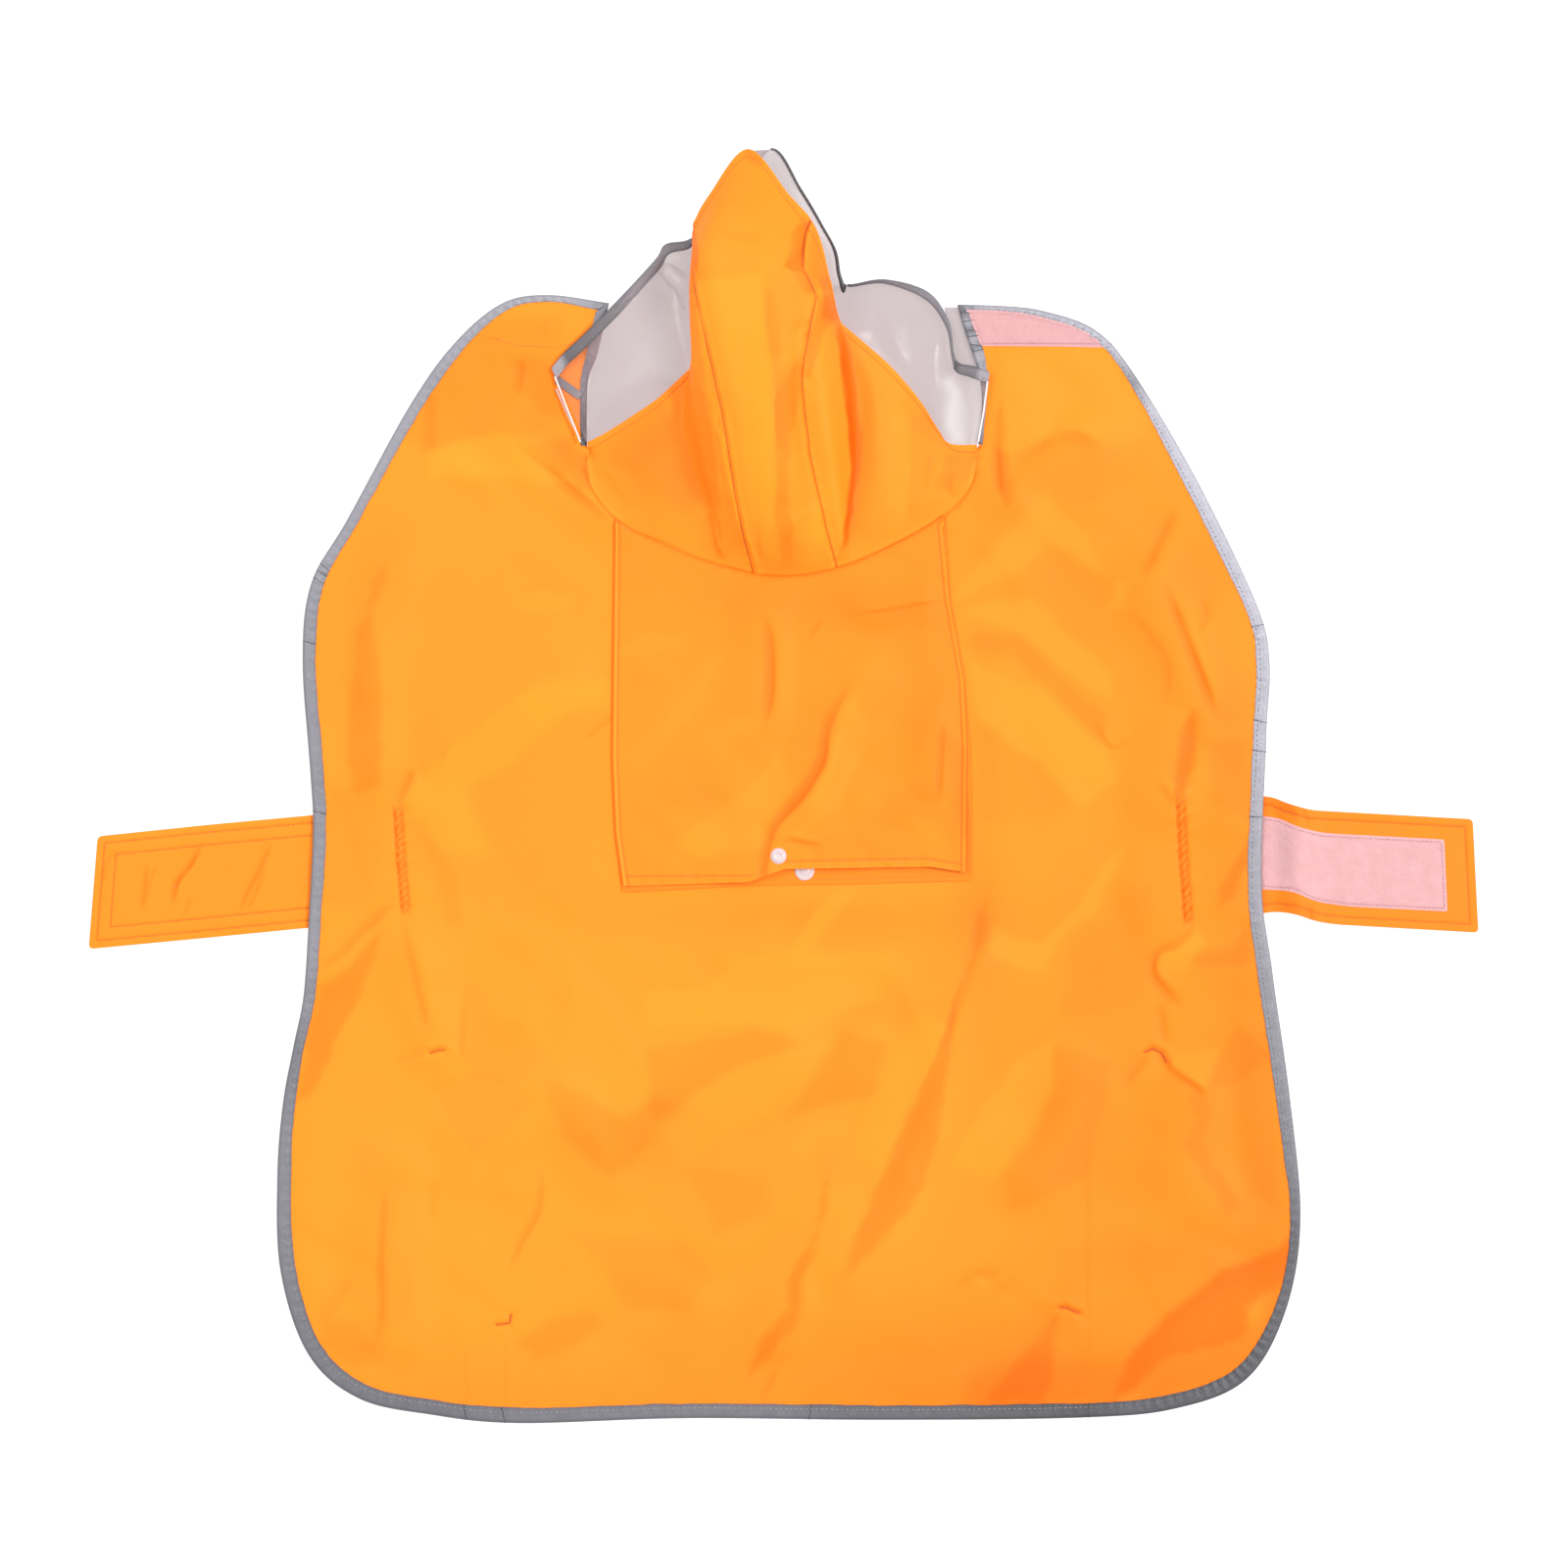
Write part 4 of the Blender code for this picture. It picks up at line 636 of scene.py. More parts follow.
def fold_depth(xy, folds, seed):
    """The listed creases: each a trough, or a ridge, with softer cloth raised at one side."""
    height = np.zeros(len(xy))
    for i, fold in enumerate(folds):
        apart, place, side = near(xy, fold_line(fold))
        fade = (1 - ramp(place, 0.02, 0.35)) * ramp(place, 0.65, 0.98)
        fade *= 0.8 + 0.35 * waves(xy, 19, seed + i)
        width = fold.width * (0.8 + 0.35 * waves(xy, 31, seed + 40 + i))
        across = apart * side
        steep = np.where(across > 0, 0.55, 1.35) * width
        trough = fold.depth * np.exp(-(apart / steep) ** 1.5)
        raised = fold.lift * bell(across, 1.8 * width, 1.2 * width)
        height += fade * (trough + raised)
    return height


def facet_shape(xy, facets):
    """Sharp ridges of thin cloth: how high each stands, with painted shade on its right side and a little
    painted light on its left.
    """
    height = np.zeros(len(xy))
    tone = np.zeros(len(xy))
    for facet in facets:
        apart, place, side = near(xy, spline(facet.path, 6))
        fade = (1 - ramp(place, 0.0, 0.18)) * ramp(place, 0.82, 1.0)
        across = apart * side
        height += fade * facet.height * np.where(across > 0, np.exp(-(apart / (0.8 * facet.reach))),
                                                 np.exp(-(apart / (0.4 * facet.reach)) ** 1.4))
        dark = np.exp(-(apart / facet.reach) ** 1.2) * drop(across, CREASE_EDGE)
        light = np.exp(-apart / (0.6 * facet.reach)) * drop(-across, CREASE_EDGE)
        tone += fade * facet.amount * (0.18 * light - dark)
    return height, tone


def rumple(xy, size, seed):
    """Soft facets of thin coated cloth, about 1 high, with creases between that fade in and out."""
    bent = xy + 0.12 * size * np.stack([waves(xy, 0.7 * size, seed + 4), waves(xy, 0.6 * size, seed + 5)],
                                       axis=1)
    broad = waves(bent, size, seed)
    first = np.sqrt(waves(bent @ TURN, 0.62 * size, seed + 1) ** 2 + 0.004)
    second = np.sqrt(waves(bent @ TURN.T, 0.4 * size, seed + 2) ** 2 + 0.006)
    small = waves(bent, 0.2 * size, seed + 3)
    return 0.6 * broad + 0.9 * first - 0.5 * second + 0.06 * small


def long_folds(xy, size, seed):
    """Long shallow folds, up to 1 high, each steep at one side, that die out at both ends."""
    drawn = (xy @ TURN) * np.array([0.5, 1.0])
    phase = 1.7 * waves(drawn, 0.8 * size, seed) + 0.6 * waves(xy, 0.55 * size, seed + 1)
    part = phase - np.floor(phase)
    profile = np.where(part < 0.84, part / 0.84, (1 - part) / 0.16)
    profile = profile * profile * (3 - 2 * profile)
    return profile * np.clip(0.35 + 1.1 * waves(xy, 0.9 * size, seed + 2), 0, 1)


def soft_floor(height, low=0.55):
    """Keeps cloth above the table without a hard edge where it comes to rest."""
    over = height - low
    return low + 0.5 * (over + np.sqrt(over ** 2 + 0.25))


def shade_at(xy, shades):
    """Painted shade and light: how much darker or lighter the cloth is, as a share, from soft oval patches.
    """
    total = np.zeros(len(xy))
    for s in shades:
        angle = math.radians(s.turn)
        x, y = xy[:, 0] - s.x, xy[:, 1] - s.y
        along = (x * math.cos(angle) + y * math.sin(angle)) / s.along
        across = (y * math.cos(angle) - x * math.sin(angle)) / s.across
        total += s.amount * np.exp(-(along ** 2 + across ** 2))
    return total


def patch_tone(xy, patches):
    """Painted light and shade: how much lighter or darker the cloth lies in its flat facets, with slightly
    uneven outlines.
    """
    bent = xy + 1.4 * np.stack([waves(xy, 9, 21), waves(xy, 9, 22)], axis=1)
    total = np.zeros(len(xy))
    for patch in patches:
        reach = 6 * patch.soft
        corners = xy_of(patch.outline)
        close = np.all((bent > corners.min(0) - reach) & (bent < corners.max(0) + reach), axis=1)
        spots = bent[close]
        apart = near(spots, closed(patch.outline))[0]
        apart[inside(spots, patch.outline)] *= -1
        total[close] += patch.amount * drop(2 * apart, patch.soft)
    return total


def crease_tone(xy, folds, seed):
    """Painted shade in narrow creases, and painted light on narrow ridges, with clear edges, dying out at
    both ends.
    """
    total = np.zeros(len(xy))
    for i, fold in enumerate(folds):
        if fold.width > 8:
            continue
        apart, place, side = near(xy, fold_line(fold))
        fade = (1 - ramp(place, 0.0, 0.25)) * ramp(place, 0.75, 1.0)
        width = fold.width * (0.15 + 0.65 * fade + 0.2 * waves(xy, 23, seed + i))
        across = apart * side
        steep = drop(across - 0.55 * width, CREASE_EDGE)
        slack = drop(-across - 0.8 * width, 0.12 * fold.width + 0.3)
        total += fold.depth * fade ** 0.5 * steep * slack
    return total


TURN = np.array([[0.8, -0.6], [0.6, 0.8]])
EDGE_STEP = 1.6
neck_curve = spline(NECK_SEAM, 12)
left_edge = evenly(LEFT_NECK_EDGE, EDGE_STEP)
outer_edge = evenly(OUTER_EDGE, EDGE_STEP)
right_edge = evenly(RIGHT_NECK_EDGE, EDGE_STEP)
edge_rows = np.vstack([left_edge[:-1], outer_edge[:-1], right_edge])
body_edge = edge_rows[:, :2]
CORNERS = (len(left_edge) - 1, len(left_edge) + len(outer_edge) - 2)
coarse_edge = body_edge[::4]
LAST_STATION = len(body_edge) - 1
TUCKED = 1.4                    # how far the body's own edge lies inside its tape
TAPE_STITCH_PLACE = 0.72        # of the tape's width

STRAP_SEAMS = [[(-236.5, -12), (-234.5, -46), (-231, -81)], [(242, -7), (244.5, -46), (247.5, -87)]]
STRAP_SEAM_HALF = 2.6
STRAP_SEAM_LENGTH = 72
TACKS = [[(-216, -164.5), (-212, -163), (-208, -162.6)], [(-176, -331), (-168, -330), (-167, -325)],
         [(221, -164), (226, -162), (231, -164.5), (234, -170)], [(169, -320), (173, -320.6), (180, -323.5)]]


def strap_seam_height(xy):
    """Two stitched lines with the cloth bunched into a rope between them."""
    height = np.zeros(len(xy))
    for seam in STRAP_SEAMS:
        apart, place, side = near(xy, seam)
        across = apart * side
        run = place * STRAP_SEAM_LENGTH
        bunch = 0.45 * np.cos(2 * np.pi * (run + 1.3 * across) / 3.9 + 2.2 * waves(xy, 6, 5))
        held = ramp(np.abs(place - 0.5), 0.40, 0.5)
        height += held * (0.9 + bunch) * ramp(apart, 0.6, STRAP_SEAM_HALF)
        height -= held * 0.9 * bell(apart, STRAP_SEAM_HALF, 0.7)
        pucker = 0.35 * np.sin(2 * np.pi * run / 9 + 3 * waves(xy, 14, 6))
        height += pucker * ramp(apart, STRAP_SEAM_HALF, 16) * (apart > STRAP_SEAM_HALF - 1)
    return height


def tack_height(xy):
    """Each small tack pulls the cloth in, with short rays round it."""
    height = np.zeros(len(xy))
    for i, tack in enumerate(TACKS):
        apart, _, side = near(xy, tack)
        middle = np.mean(xy_of(tack), axis=0)
        angle = np.arctan2(xy[:, 1] - middle[1], xy[:, 0] - middle[0])
        rays = np.cos(5 * angle + 1.7 * i) + 0.6 * np.cos(3 * angle + i)
        height -= 1.3 * bell(apart, 0, 2.2)
        height += 0.42 * rays * np.exp(-apart / 9) * (1 - np.exp(-apart / 3))
        height += 0.7 * bell(apart, 3.4, 2.2) * (side > 0)
    return height


def panel_under(xy):
    """Height of the body panel's lower face, as its solid has it."""
    from_edge = near(xy, coarse_edge)[0]
    height = LAYER * ramp(from_edge, 14, 40)
    lift = np.zeros(len(xy))
    for x1, x2, y1, y2 in UNDER_STRAPS:
        outside = np.stack([np.maximum(np.maximum(x1 - xy[:, 0], xy[:, 0] - x2), 0),
                            np.maximum(np.maximum(y1 - xy[:, 1], xy[:, 1] - y2), 0)])
        lift = np.maximum(lift, LAYER * ramp(np.hypot(*outside), 24, 48))
    lift = np.maximum(lift, (HOOK_WALL + GAP) * ramp(away_from(xy, FLAP_HOOK_LEFT), 24, 48))
    return height + lift + ridge_height(xy, PANEL_RIDGES) * (1 - ramp(from_edge, 14, 45))


def panel_detail(xy):
    from_edge = near(xy, coarse_edge)[0]
    ease = 1 - 0.8 * ramp(from_edge, 4, 26)
    soft = 1.15 * fold_depth(xy, PANEL_FOLDS, 100) + 1.6 * rumple(xy, 92, 11) + 0.4
    soft += 1.3 * long_folds(xy, 120, 61)
    soft *= 1 - 0.5 * ramp(away_from(xy, POUCH_AREA), 0, 16)
    run = np.cos((xy[:, 0] * 0.7 - xy[:, 1]) / 2.3 + 3 * waves(xy, 21, 9))
    at_tape = 0.16 * run * ramp(from_edge, 9, 24) * (from_edge > 4)
    seam = near(xy, neck_curve)[0]
    at_neck = -0.9 * bell(seam, 0, 1.6) + 0.2 * run * ramp(seam, 2, 16)
    return ease * soft + at_tape + at_neck + strap_seam_height(xy) + tack_height(xy)


def panel_top(xy):
    return soft_floor(panel_under(xy) + WALL + panel_detail(xy))


def back_top(xy):
    """The pouch's back layer, which follows the panel below it."""
    return panel_top(xy) + 1.0


def pouch_side_roll(xy):
    """A rolled ridge along both sides, 3 mm wide, with its row of stitches sunk beside it."""
    height = np.zeros(len(xy))
    for side_line in (POUCH_LEFT_SIDE, POUCH_RIGHT_SIDE):
        apart = near(xy, side_line)[0]
        height += 0.7 * bell(apart, 1.1, 0.8) - 0.5 * bell(apart, 2.9, 0.6)
    return height


def front_top(xy):
    lift = MOUTH_LIFT * ramp(near(xy, MOUTH_LINE)[0], 26, 60)
    sides = np.minimum(near(xy, POUCH_LEFT_SIDE)[0], near(xy, POUCH_RIGHT_SIDE)[0])
    free = 1 - ramp(sides, 2, 20)
    ridges = ridge_height(xy, POUCH_RIDGES) * (1 - ramp(sides, 0, 18))
    detail = 1.15 * fold_depth(xy, POUCH_FOLDS, 300) + 1.2 * rumple(xy, 70, 31)
    detail += 0.9 * long_folds(xy, 90, 64)
    base = panel_top(xy) + 1.7 + np.maximum(lift, ridges)
    hem = near(xy, HEM_LINE)[0]
    at_hem = 0.5 * ramp(hem, 2.2, 4.0) * (xy[:, 1] < 0) + 0.22 * np.sin(xy[:, 0] / 1.7) * ramp(hem, 1, 9)
    cap = np.linalg.norm(xy - np.array(SNAP_CAP), axis=1)
    dent = -0.8 * bell(cap, 0, 8)
    seam = near(xy, neck_curve)[0]
    at_neck = -0.6 * bell(seam, 0, 1.6)
    height = base + free * detail + at_hem + dent + at_neck
    return np.maximum(height, back_top(xy) + 0.75) + pouch_side_roll(xy)


# ---------------------------------------------------------------- meshes

def world(points):
    points = np.array(points, float)
    points[:, :2] -= CENTRE
    return points * MM


def turned_in(points, faces):
    """Whether a closed skin has its faces inwards, from the sign of what it holds."""
    held = 0.0
    for size in (3, 4):
        some = np.array([face for face in faces if len(face) == size], int)
        for k in range(1, size - 1):
            if len(some):
                a, b, c = points[some[:, 0]], points[some[:, k]], points[some[:, k + 1]]
                held += np.einsum("ij,ij->", a, np.cross(b, c))
    return held < 0


def new_piece(name, points, faces, tones):
    """A mesh object from points in the tables' millimetres, with its tone, mostly painted shade and light,
    kept by vertex.
    """
    mesh = bpy.data.meshes.new(name)
    mesh.from_pydata(world(points).tolist(), [], faces)
    mesh.validate()
    if turned_in(np.array(points, float), faces):
        mesh.flip_normals()
    mesh.shade_smooth()
    mesh.set_sharp_from_angle(angle=math.radians(SMOOTH_ANGLE))
    layer = mesh.attributes.new("tone", "FLOAT", "POINT")
    layer.data.foreach_set("value", np.asarray(tones, np.float32))
    piece = bpy.data.objects.new(name, mesh)
    bpy.context.collection.objects.link(piece)
    return piece


Plan = namedtuple("Plan", "points triangles")
FINE_REACH = 6.0


def lattice(outline, spacing, fine_paths):
    """Points of an even lattice inside an outline, with a third of the spacing near some paths."""
    loop = xy_of(outline)
    low, high = loop.min(axis=0), loop.max(axis=0)
    step = spacing / 3
    rise = step * math.sqrt(3) / 2
    rows = np.arange(int((high[1] - low[1]) / rise) + 2)
    columns = np.arange(int((high[0] - low[0]) / step) + 3)
    column, row = np.meshgrid(columns, rows)
    xy = np.stack([(low[0] - step + (column + 0.5 * (row % 2)) * step).ravel(),
                   (low[1] + row * rise).ravel()], axis=1)
    keep = ((row % 3 == 0) & (column % 3 == (row // 3) % 2)).ravel()
    for path in fine_paths:
        corners = xy_of(path)
        around = np.all((xy > corners.min(axis=0) - FINE_REACH) & (xy < corners.max(axis=0) + FINE_REACH),
                        axis=1)
        keep[around] |= near(xy[around], path)[0] < FINE_REACH
    xy = xy[keep]
    return xy[inside(xy, outline)]


def triangulate(outline, lines, spacing, fine_paths=()):
    """A plan of even triangles, with edges along the outline and the lines, finer near some paths."""
    points = xy_of(outline)
    count = len(points)
    edges = [(i, (i + 1) % count) for i in range(count)]
    borders = [closed(outline)] + [list(line) for line in lines]
    stack = [points]
    for line in lines:
        line = xy_of(line)
        edges += [(count + i, count + i + 1) for i in range(len(line) - 1)]
        count += len(line)
        stack.append(line)
    inner = lattice(outline, spacing, fine_paths)
    clear = np.full(len(inner), np.inf)
    for border in borders:
        clear = np.minimum(clear, near(inner, border)[0])
    stack.append(inner[clear > 0.2 * spacing])
    flat = [Vector(p) for p in np.vstack(stack)]
    found, _, faces, _, _, _ = delaunay_2d_cdt(flat, edges, [], 0, 0.001)
    plan = Plan(np.array([tuple(p) for p in found]), np.array([tuple(face) for face in faces]))
    return part_of(plan, outline)


def part_of(plan, loop):
    middles = plan.points[plan.triangles].mean(axis=1)
    return Plan(plan.points, plan.triangles[inside(middles, loop)])


def lay_cloth(name, plan, top, tone, wall=CLOTH):
    """A thin shell over a plan, with top(xy) as the height of its outer face, and painted shade and light
    from tone(xy).
    """
    used, place = np.unique(plan.triangles, return_inverse=True)
    triangles = place.reshape(-1, 3)
    xy = plan.points[used]
    height = top(xy)
    upper = np.column_stack([xy, height])
    lower = np.column_stack([xy, np.maximum(height - wall, 0.02)])
    count = len(used)
    run = np.vstack([triangles[:, [0, 1]], triangles[:, [1, 2]], triangles[:, [2, 0]]])
    keys = run[:, 0] * count + run[:, 1]
    back = run[:, 1] * count + run[:, 0]
    rim = run[~np.isin(keys, back)]
    faces = np.vstack([triangles, triangles[:, ::-1] + count]).tolist()
    faces += [(b, a, a + count, b + count) for a, b in rim.tolist()]
    return new_piece(name, np.vstack([upper, lower]), faces, np.tile(1 + tone(xy), 2))


def wall_between(name, outer, inner, tones):
    """A closed shell between two grids of points, both [column, row]."""
    columns, rows = outer.shape[:2]
    index = np.arange(columns * rows).reshape(columns, rows)
    count = columns * rows
    quads = np.stack([index[:-1, :-1], index[1:, :-1], index[1:, 1:], index[:-1, 1:]],
                     axis=-1).reshape(-1, 4)
    rim = np.concatenate([index[:, 0], index[-1, 1:], index[:-1, -1][::-1], index[0, 1:-1][::-1]])
    following = np.roll(rim, -1)
    sides = np.stack([following, rim, rim + count, following + count], axis=1)
    faces = np.vstack([quads, quads[:, ::-1] + count, sides]).tolist()
    points = np.vstack([outer.reshape(-1, 3), inner.reshape(-1, 3)])
    return new_piece(name, points, faces, np.tile(tones.ravel(), 2))


def grid_normals(grid):
    across = np.gradient(grid, axis=0)
    along = np.gradient(grid, axis=1)
    normal = np.cross(across, along)
    return normal / np.maximum(np.linalg.norm(normal, axis=2), 1e-9)[..., None]


# ---------------------------------------------------------------- finishes

class Maths:
    """A number on a shader's socket, on which Python's operators add Math nodes."""

    def __init__(self, finish, socket):
        self.finish = finish
        self.socket = socket

    def _with(self, operation, *values):
        node = self.finish.node("ShaderNodeMath", {"operation": operation}, dict(enumerate(values)))
        return Maths(self.finish, node.outputs[0])

    def __add__(self, other):
        return self._with("ADD", self, other)

    __radd__ = __add__

    def __sub__(self, other):
        return self._with("SUBTRACT", self, other)

    def __rsub__(self, other):
        return self._with("SUBTRACT", other, self)

    def __mul__(self, other):
        return self._with("MULTIPLY", self, other)

    def sine(self):
        return self._with("SINE", self)

    def clamped(self, low, high):
        return self._with("MINIMUM", self._with("MAXIMUM", self, low), high)


class Finish:
    """A material whose nodes are made by one method, and its numbers by Maths."""

    def __init__(self, name, colour, roughness, **constants):
        self.material = bpy.data.materials.new(name)
        self.material.use_nodes = True
        self.tree = self.material.node_tree
        self.shader = self.tree.nodes["Principled BSDF"]
        self.shader.inputs["Base Color"].default_value = (*colour, 1)
        self.shader.inputs["Roughness"].default_value = roughness
        for socket, value in constants.items():
            self.shader.inputs[socket.replace("_", " ")].default_value = value

    def node(self, kind, settings, values):
        node = self.tree.nodes.new(kind)
        for key, value in settings.items():
            setattr(node, key, value)
        for key, value in values.items():
            self.put(value, node.inputs[key])
        return node

    def put(self, value, socket):
        if isinstance(value, Maths):
            value = value.socket
        if isinstance(value, bpy.types.NodeSocket):
            self.tree.links.new(value, socket)
        else:
            socket.default_value = value

    def set(self, socket, value):
        self.put(value, self.shader.inputs[socket])

    def place(self):
        return self.node("ShaderNodeTexCoord", {}, {}).outputs["Object"]

    def attribute(self, name):
        return Maths(self, self.node("ShaderNodeAttribute", {"attribute_name": name}, {}).outputs["Fac"])

    def split(self, vector):
        node = self.node("ShaderNodeSeparateXYZ", {}, {"Vector": vector})
        return [Maths(self, node.outputs[k]) for k in range(3)]

    def noise(self, vector, scale, detail=2.0, rough=0.5):
        node = self.node("ShaderNodeTexNoise", {}, {"Vector": vector, "Scale": scale,
                                                    "Detail": detail, "Roughness": rough})
        return Maths(self, node.outputs["Fac"])

    def tinted(self, colour, amount):
        """A colour times a number, by Vector Math."""
        return self.node("ShaderNodeVectorMath", {"operation": "SCALE"},
                         {0: colour, "Scale": amount}).outputs[0]

    def mixed(self, amount, first, second):
        return self.node("ShaderNodeMix", {"data_type": "RGBA"},
                         {"Factor": amount, 6: first, 7: second}).outputs[2]

    def bump(self, height, distance, below=None):
        values = {"Strength": 1.0, "Distance": distance, "Height": height}
        if below is not None:
            values["Normal"] = below
        return self.node("ShaderNodeBump", {}, values).outputs[0]


def weave_of(finish, place, pitch):
    """A plain weave: two sets of threads that cross, in the piece's own plan."""
    x, y, _ = finish.split(place)
    turn = 2 * math.pi / pitch
    return (x * turn).sine() * (y * turn).sine()


def coated_cloth(name, colour, deep):
    """Coated polyester: a fine weave, crinkled, darker and redder where its tone attribute holds painted
    shade.
    """
    finish = Finish(name, colour, 0.5, Specular_IOR_Level=0.12)
    place = finish.place()
    tone = finish.attribute("tone")
    cloud = finish.noise(place, 9.0, 3.0)
    fine = finish.noise(place, 60.0, 3.0, 0.6)
    shade = tone + (cloud - 0.5) * 0.05 + (fine - 0.5) * 0.02
    painted_shade_mix = ((1 - shade) * 2.6).clamped(0.0, 1.0)
    base = finish.mixed(painted_shade_mix, (*colour, 1), (*deep, 1))
    finish.set("Base Color", finish.tinted(base, shade.clamped(0.4, 1.6)))
    finish.set("Roughness", 0.5 + (fine - 0.5) * 0.12)
    weave = finish.bump(weave_of(finish, place, 0.00075), 0.00003)
    finish.set("Normal", finish.bump(fine * 0.35 + cloud, 0.0006, weave))
    return finish.material


def reflective_tape(name, colour):
    """Woven tape with glass beads: fine sparkle, cross ribs, and worn paler patches."""
    finish = Finish(name, colour, 0.42, Metallic=0.25, Sheen_Weight=0.1, Specular_IOR_Level=0.5)
    place = finish.place()
    tone = finish.attribute("tone")
    beads = finish.noise(place, 1400.0, 1.0)
    cloud = finish.noise(place, 45.0, 3.0)
    # tone holds the painted light and shade along and across the tape.
    shade = tone * (0.93 + beads * 0.14) + (cloud - 0.5) * 0.10
    finish.set("Base Color", finish.tinted(colour, shade.clamped(0.1, 2.5)))
    finish.set("Roughness", 0.42 + (cloud - 0.5) * 0.2)
    ribs = finish.bump(weave_of(finish, place, 0.0009), 0.00004)
    finish.set("Normal", finish.bump(beads * 0.4 + cloud, 0.0004, ribs))
    return finish.material


def clear_film(name, colour, alpha):
    """Soft clear vinyl, a little cloudy, with a denser rolled edge; its tone attribute also holds painted
    highlight and shade.
    """
    finish = Finish(name, colour, 0.3, Specular_IOR_Level=0.5, Coat_Weight=0.12, Coat_Roughness=0.25)
    place = finish.place()
    edge = finish.attribute("tone")
    cloud = finish.noise(place, 16.0, 3.0)
    finish.set("Base Color", finish.mixed((edge - 1).clamped(0.0, 1.0), (*colour, 1), (0.62, 0.6, 0.62, 1)))
    finish.set("Alpha", (alpha + (cloud - 0.5) * 0.10 + (edge - 1) * 0.7).clamped(0.0, 1.0))
    finish.set("Roughness", 0.32 + (cloud - 0.5) * 0.15)
    finish.set("Normal", finish.bump(cloud + finish.noise(place, 70.0, 2.0) * 0.3, 0.0016))
    return finish.material


def loop_pile(name, colour, pale):
    """Brushed loops: soft, matte and finely tufted."""
    finish = Finish(name, colour, 0.95, Sheen_Weight=0.5, Sheen_Roughness=0.6, Specular_IOR_Level=0.2)
    place = finish.place()
    tufts = finish.noise(place, 900.0, 2.0, 0.7)
    brushed = finish.noise(place, 110.0, 3.0, 0.6)
    shade = finish.attribute("tone") * (0.89 + tufts * 0.20 + (brushed - 0.5) * 0.08)
    finish.set("Base Color", finish.tinted(finish.mixed((brushed * 1.6 - 0.4).clamped(0, 1),
                                                        (*colour, 1), (*pale, 1)), shade))
    finish.set("Normal", finish.bump(tufts + brushed, 0.0006))
    return finish.material


def hook_tape(name, colour):
    finish = Finish(name, colour, 0.6, Specular_IOR_Level=0.4)
    finish.set("Normal", finish.bump(weave_of(finish, finish.place(), 0.0016), 0.0003))
    return finish.material


def snap_plastic(name, colour):
    finish = Finish(name, colour, 0.28, Specular_IOR_Level=0.55)
    mottle = finish.noise(finish.place(), 500.0, 2.0)
    finish.set("Roughness", 0.24 + mottle * 0.12)
    finish.set("Base Color", finish.tinted(colour, 0.96 + mottle * 0.08))
    return finish.material


def thread(name, colour):
    finish = Finish(name, colour, 0.6, Sheen_Weight=0.3)
    twist = finish.noise(finish.place(), 2600.0, 1.0)
    finish.set("Base Color", finish.tinted(colour, 0.85 + twist * 0.3))
    return finish.material


ORANGE = (0.96, 0.234, 0.014)
# The orange that the cloth turns to in its painted shade.
ORANGE_IN_PAINTED_SHADE = (0.96, 0.145, 0.001)
CLOTH_FINISH = coated_cloth("coated cloth", ORANGE, ORANGE_IN_PAINTED_SHADE)
TAPE_FINISH = reflective_tape("grey reflective tape", (0.192, 0.188, 0.213))
BRIM_TAPE_FINISH = reflective_tape("dark grey tape", (0.105, 0.095, 0.105))
FILM_FINISH = clear_film("clear film", (0.275, 0.185, 0.195), 0.39)
LOOP_FINISH = loop_pile("pink loop pile", (0.60, 0.30, 0.31), (0.63, 0.345, 0.355))
HOOK_FINISH = hook_tape("pink hook tape", (0.5, 0.28, 0.29))
SNAP_FINISH = snap_plastic("pink snap plastic", (0.55, 0.44, 0.44))
ORANGE_THREAD = thread("orange thread", (0.55, 0.12, 0.006))
DEEP_THREAD = thread("deep orange thread", (0.30, 0.045, 0.004))
BROWN_THREAD = thread("brown thread", (0.22, 0.06, 0.008))
GREY_THREAD = thread("grey thread", (0.12, 0.12, 0.13))
PALE_THREAD = thread("pale grey thread", (0.30, 0.30, 0.31))
# Dark marks on the tapes: their joins, and painted shade of their little wrinkles.
DARK_TAPE_MARKS = thread("dark tape marks", (0.045, 0.045, 0.05))
# The thread's colour on the tapes that lie in painted light.
LIT_TAPE_THREAD = thread("grey thread on lit tape", (0.17, 0.17, 0.20))
PINK_THREAD = thread("pink thread", (0.42, 0.17, 0.20))


def dress(piece, finish, slot, *nodes):
    """Gives a piece its finish and ties it to the frame."""
    piece.data.materials.clear()
    piece.data.materials.append(finish)
    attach(piece, "root")
    if nodes:
        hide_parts(*nodes)
    return piece


# ---------------------------------------------------------------- rows of stitches

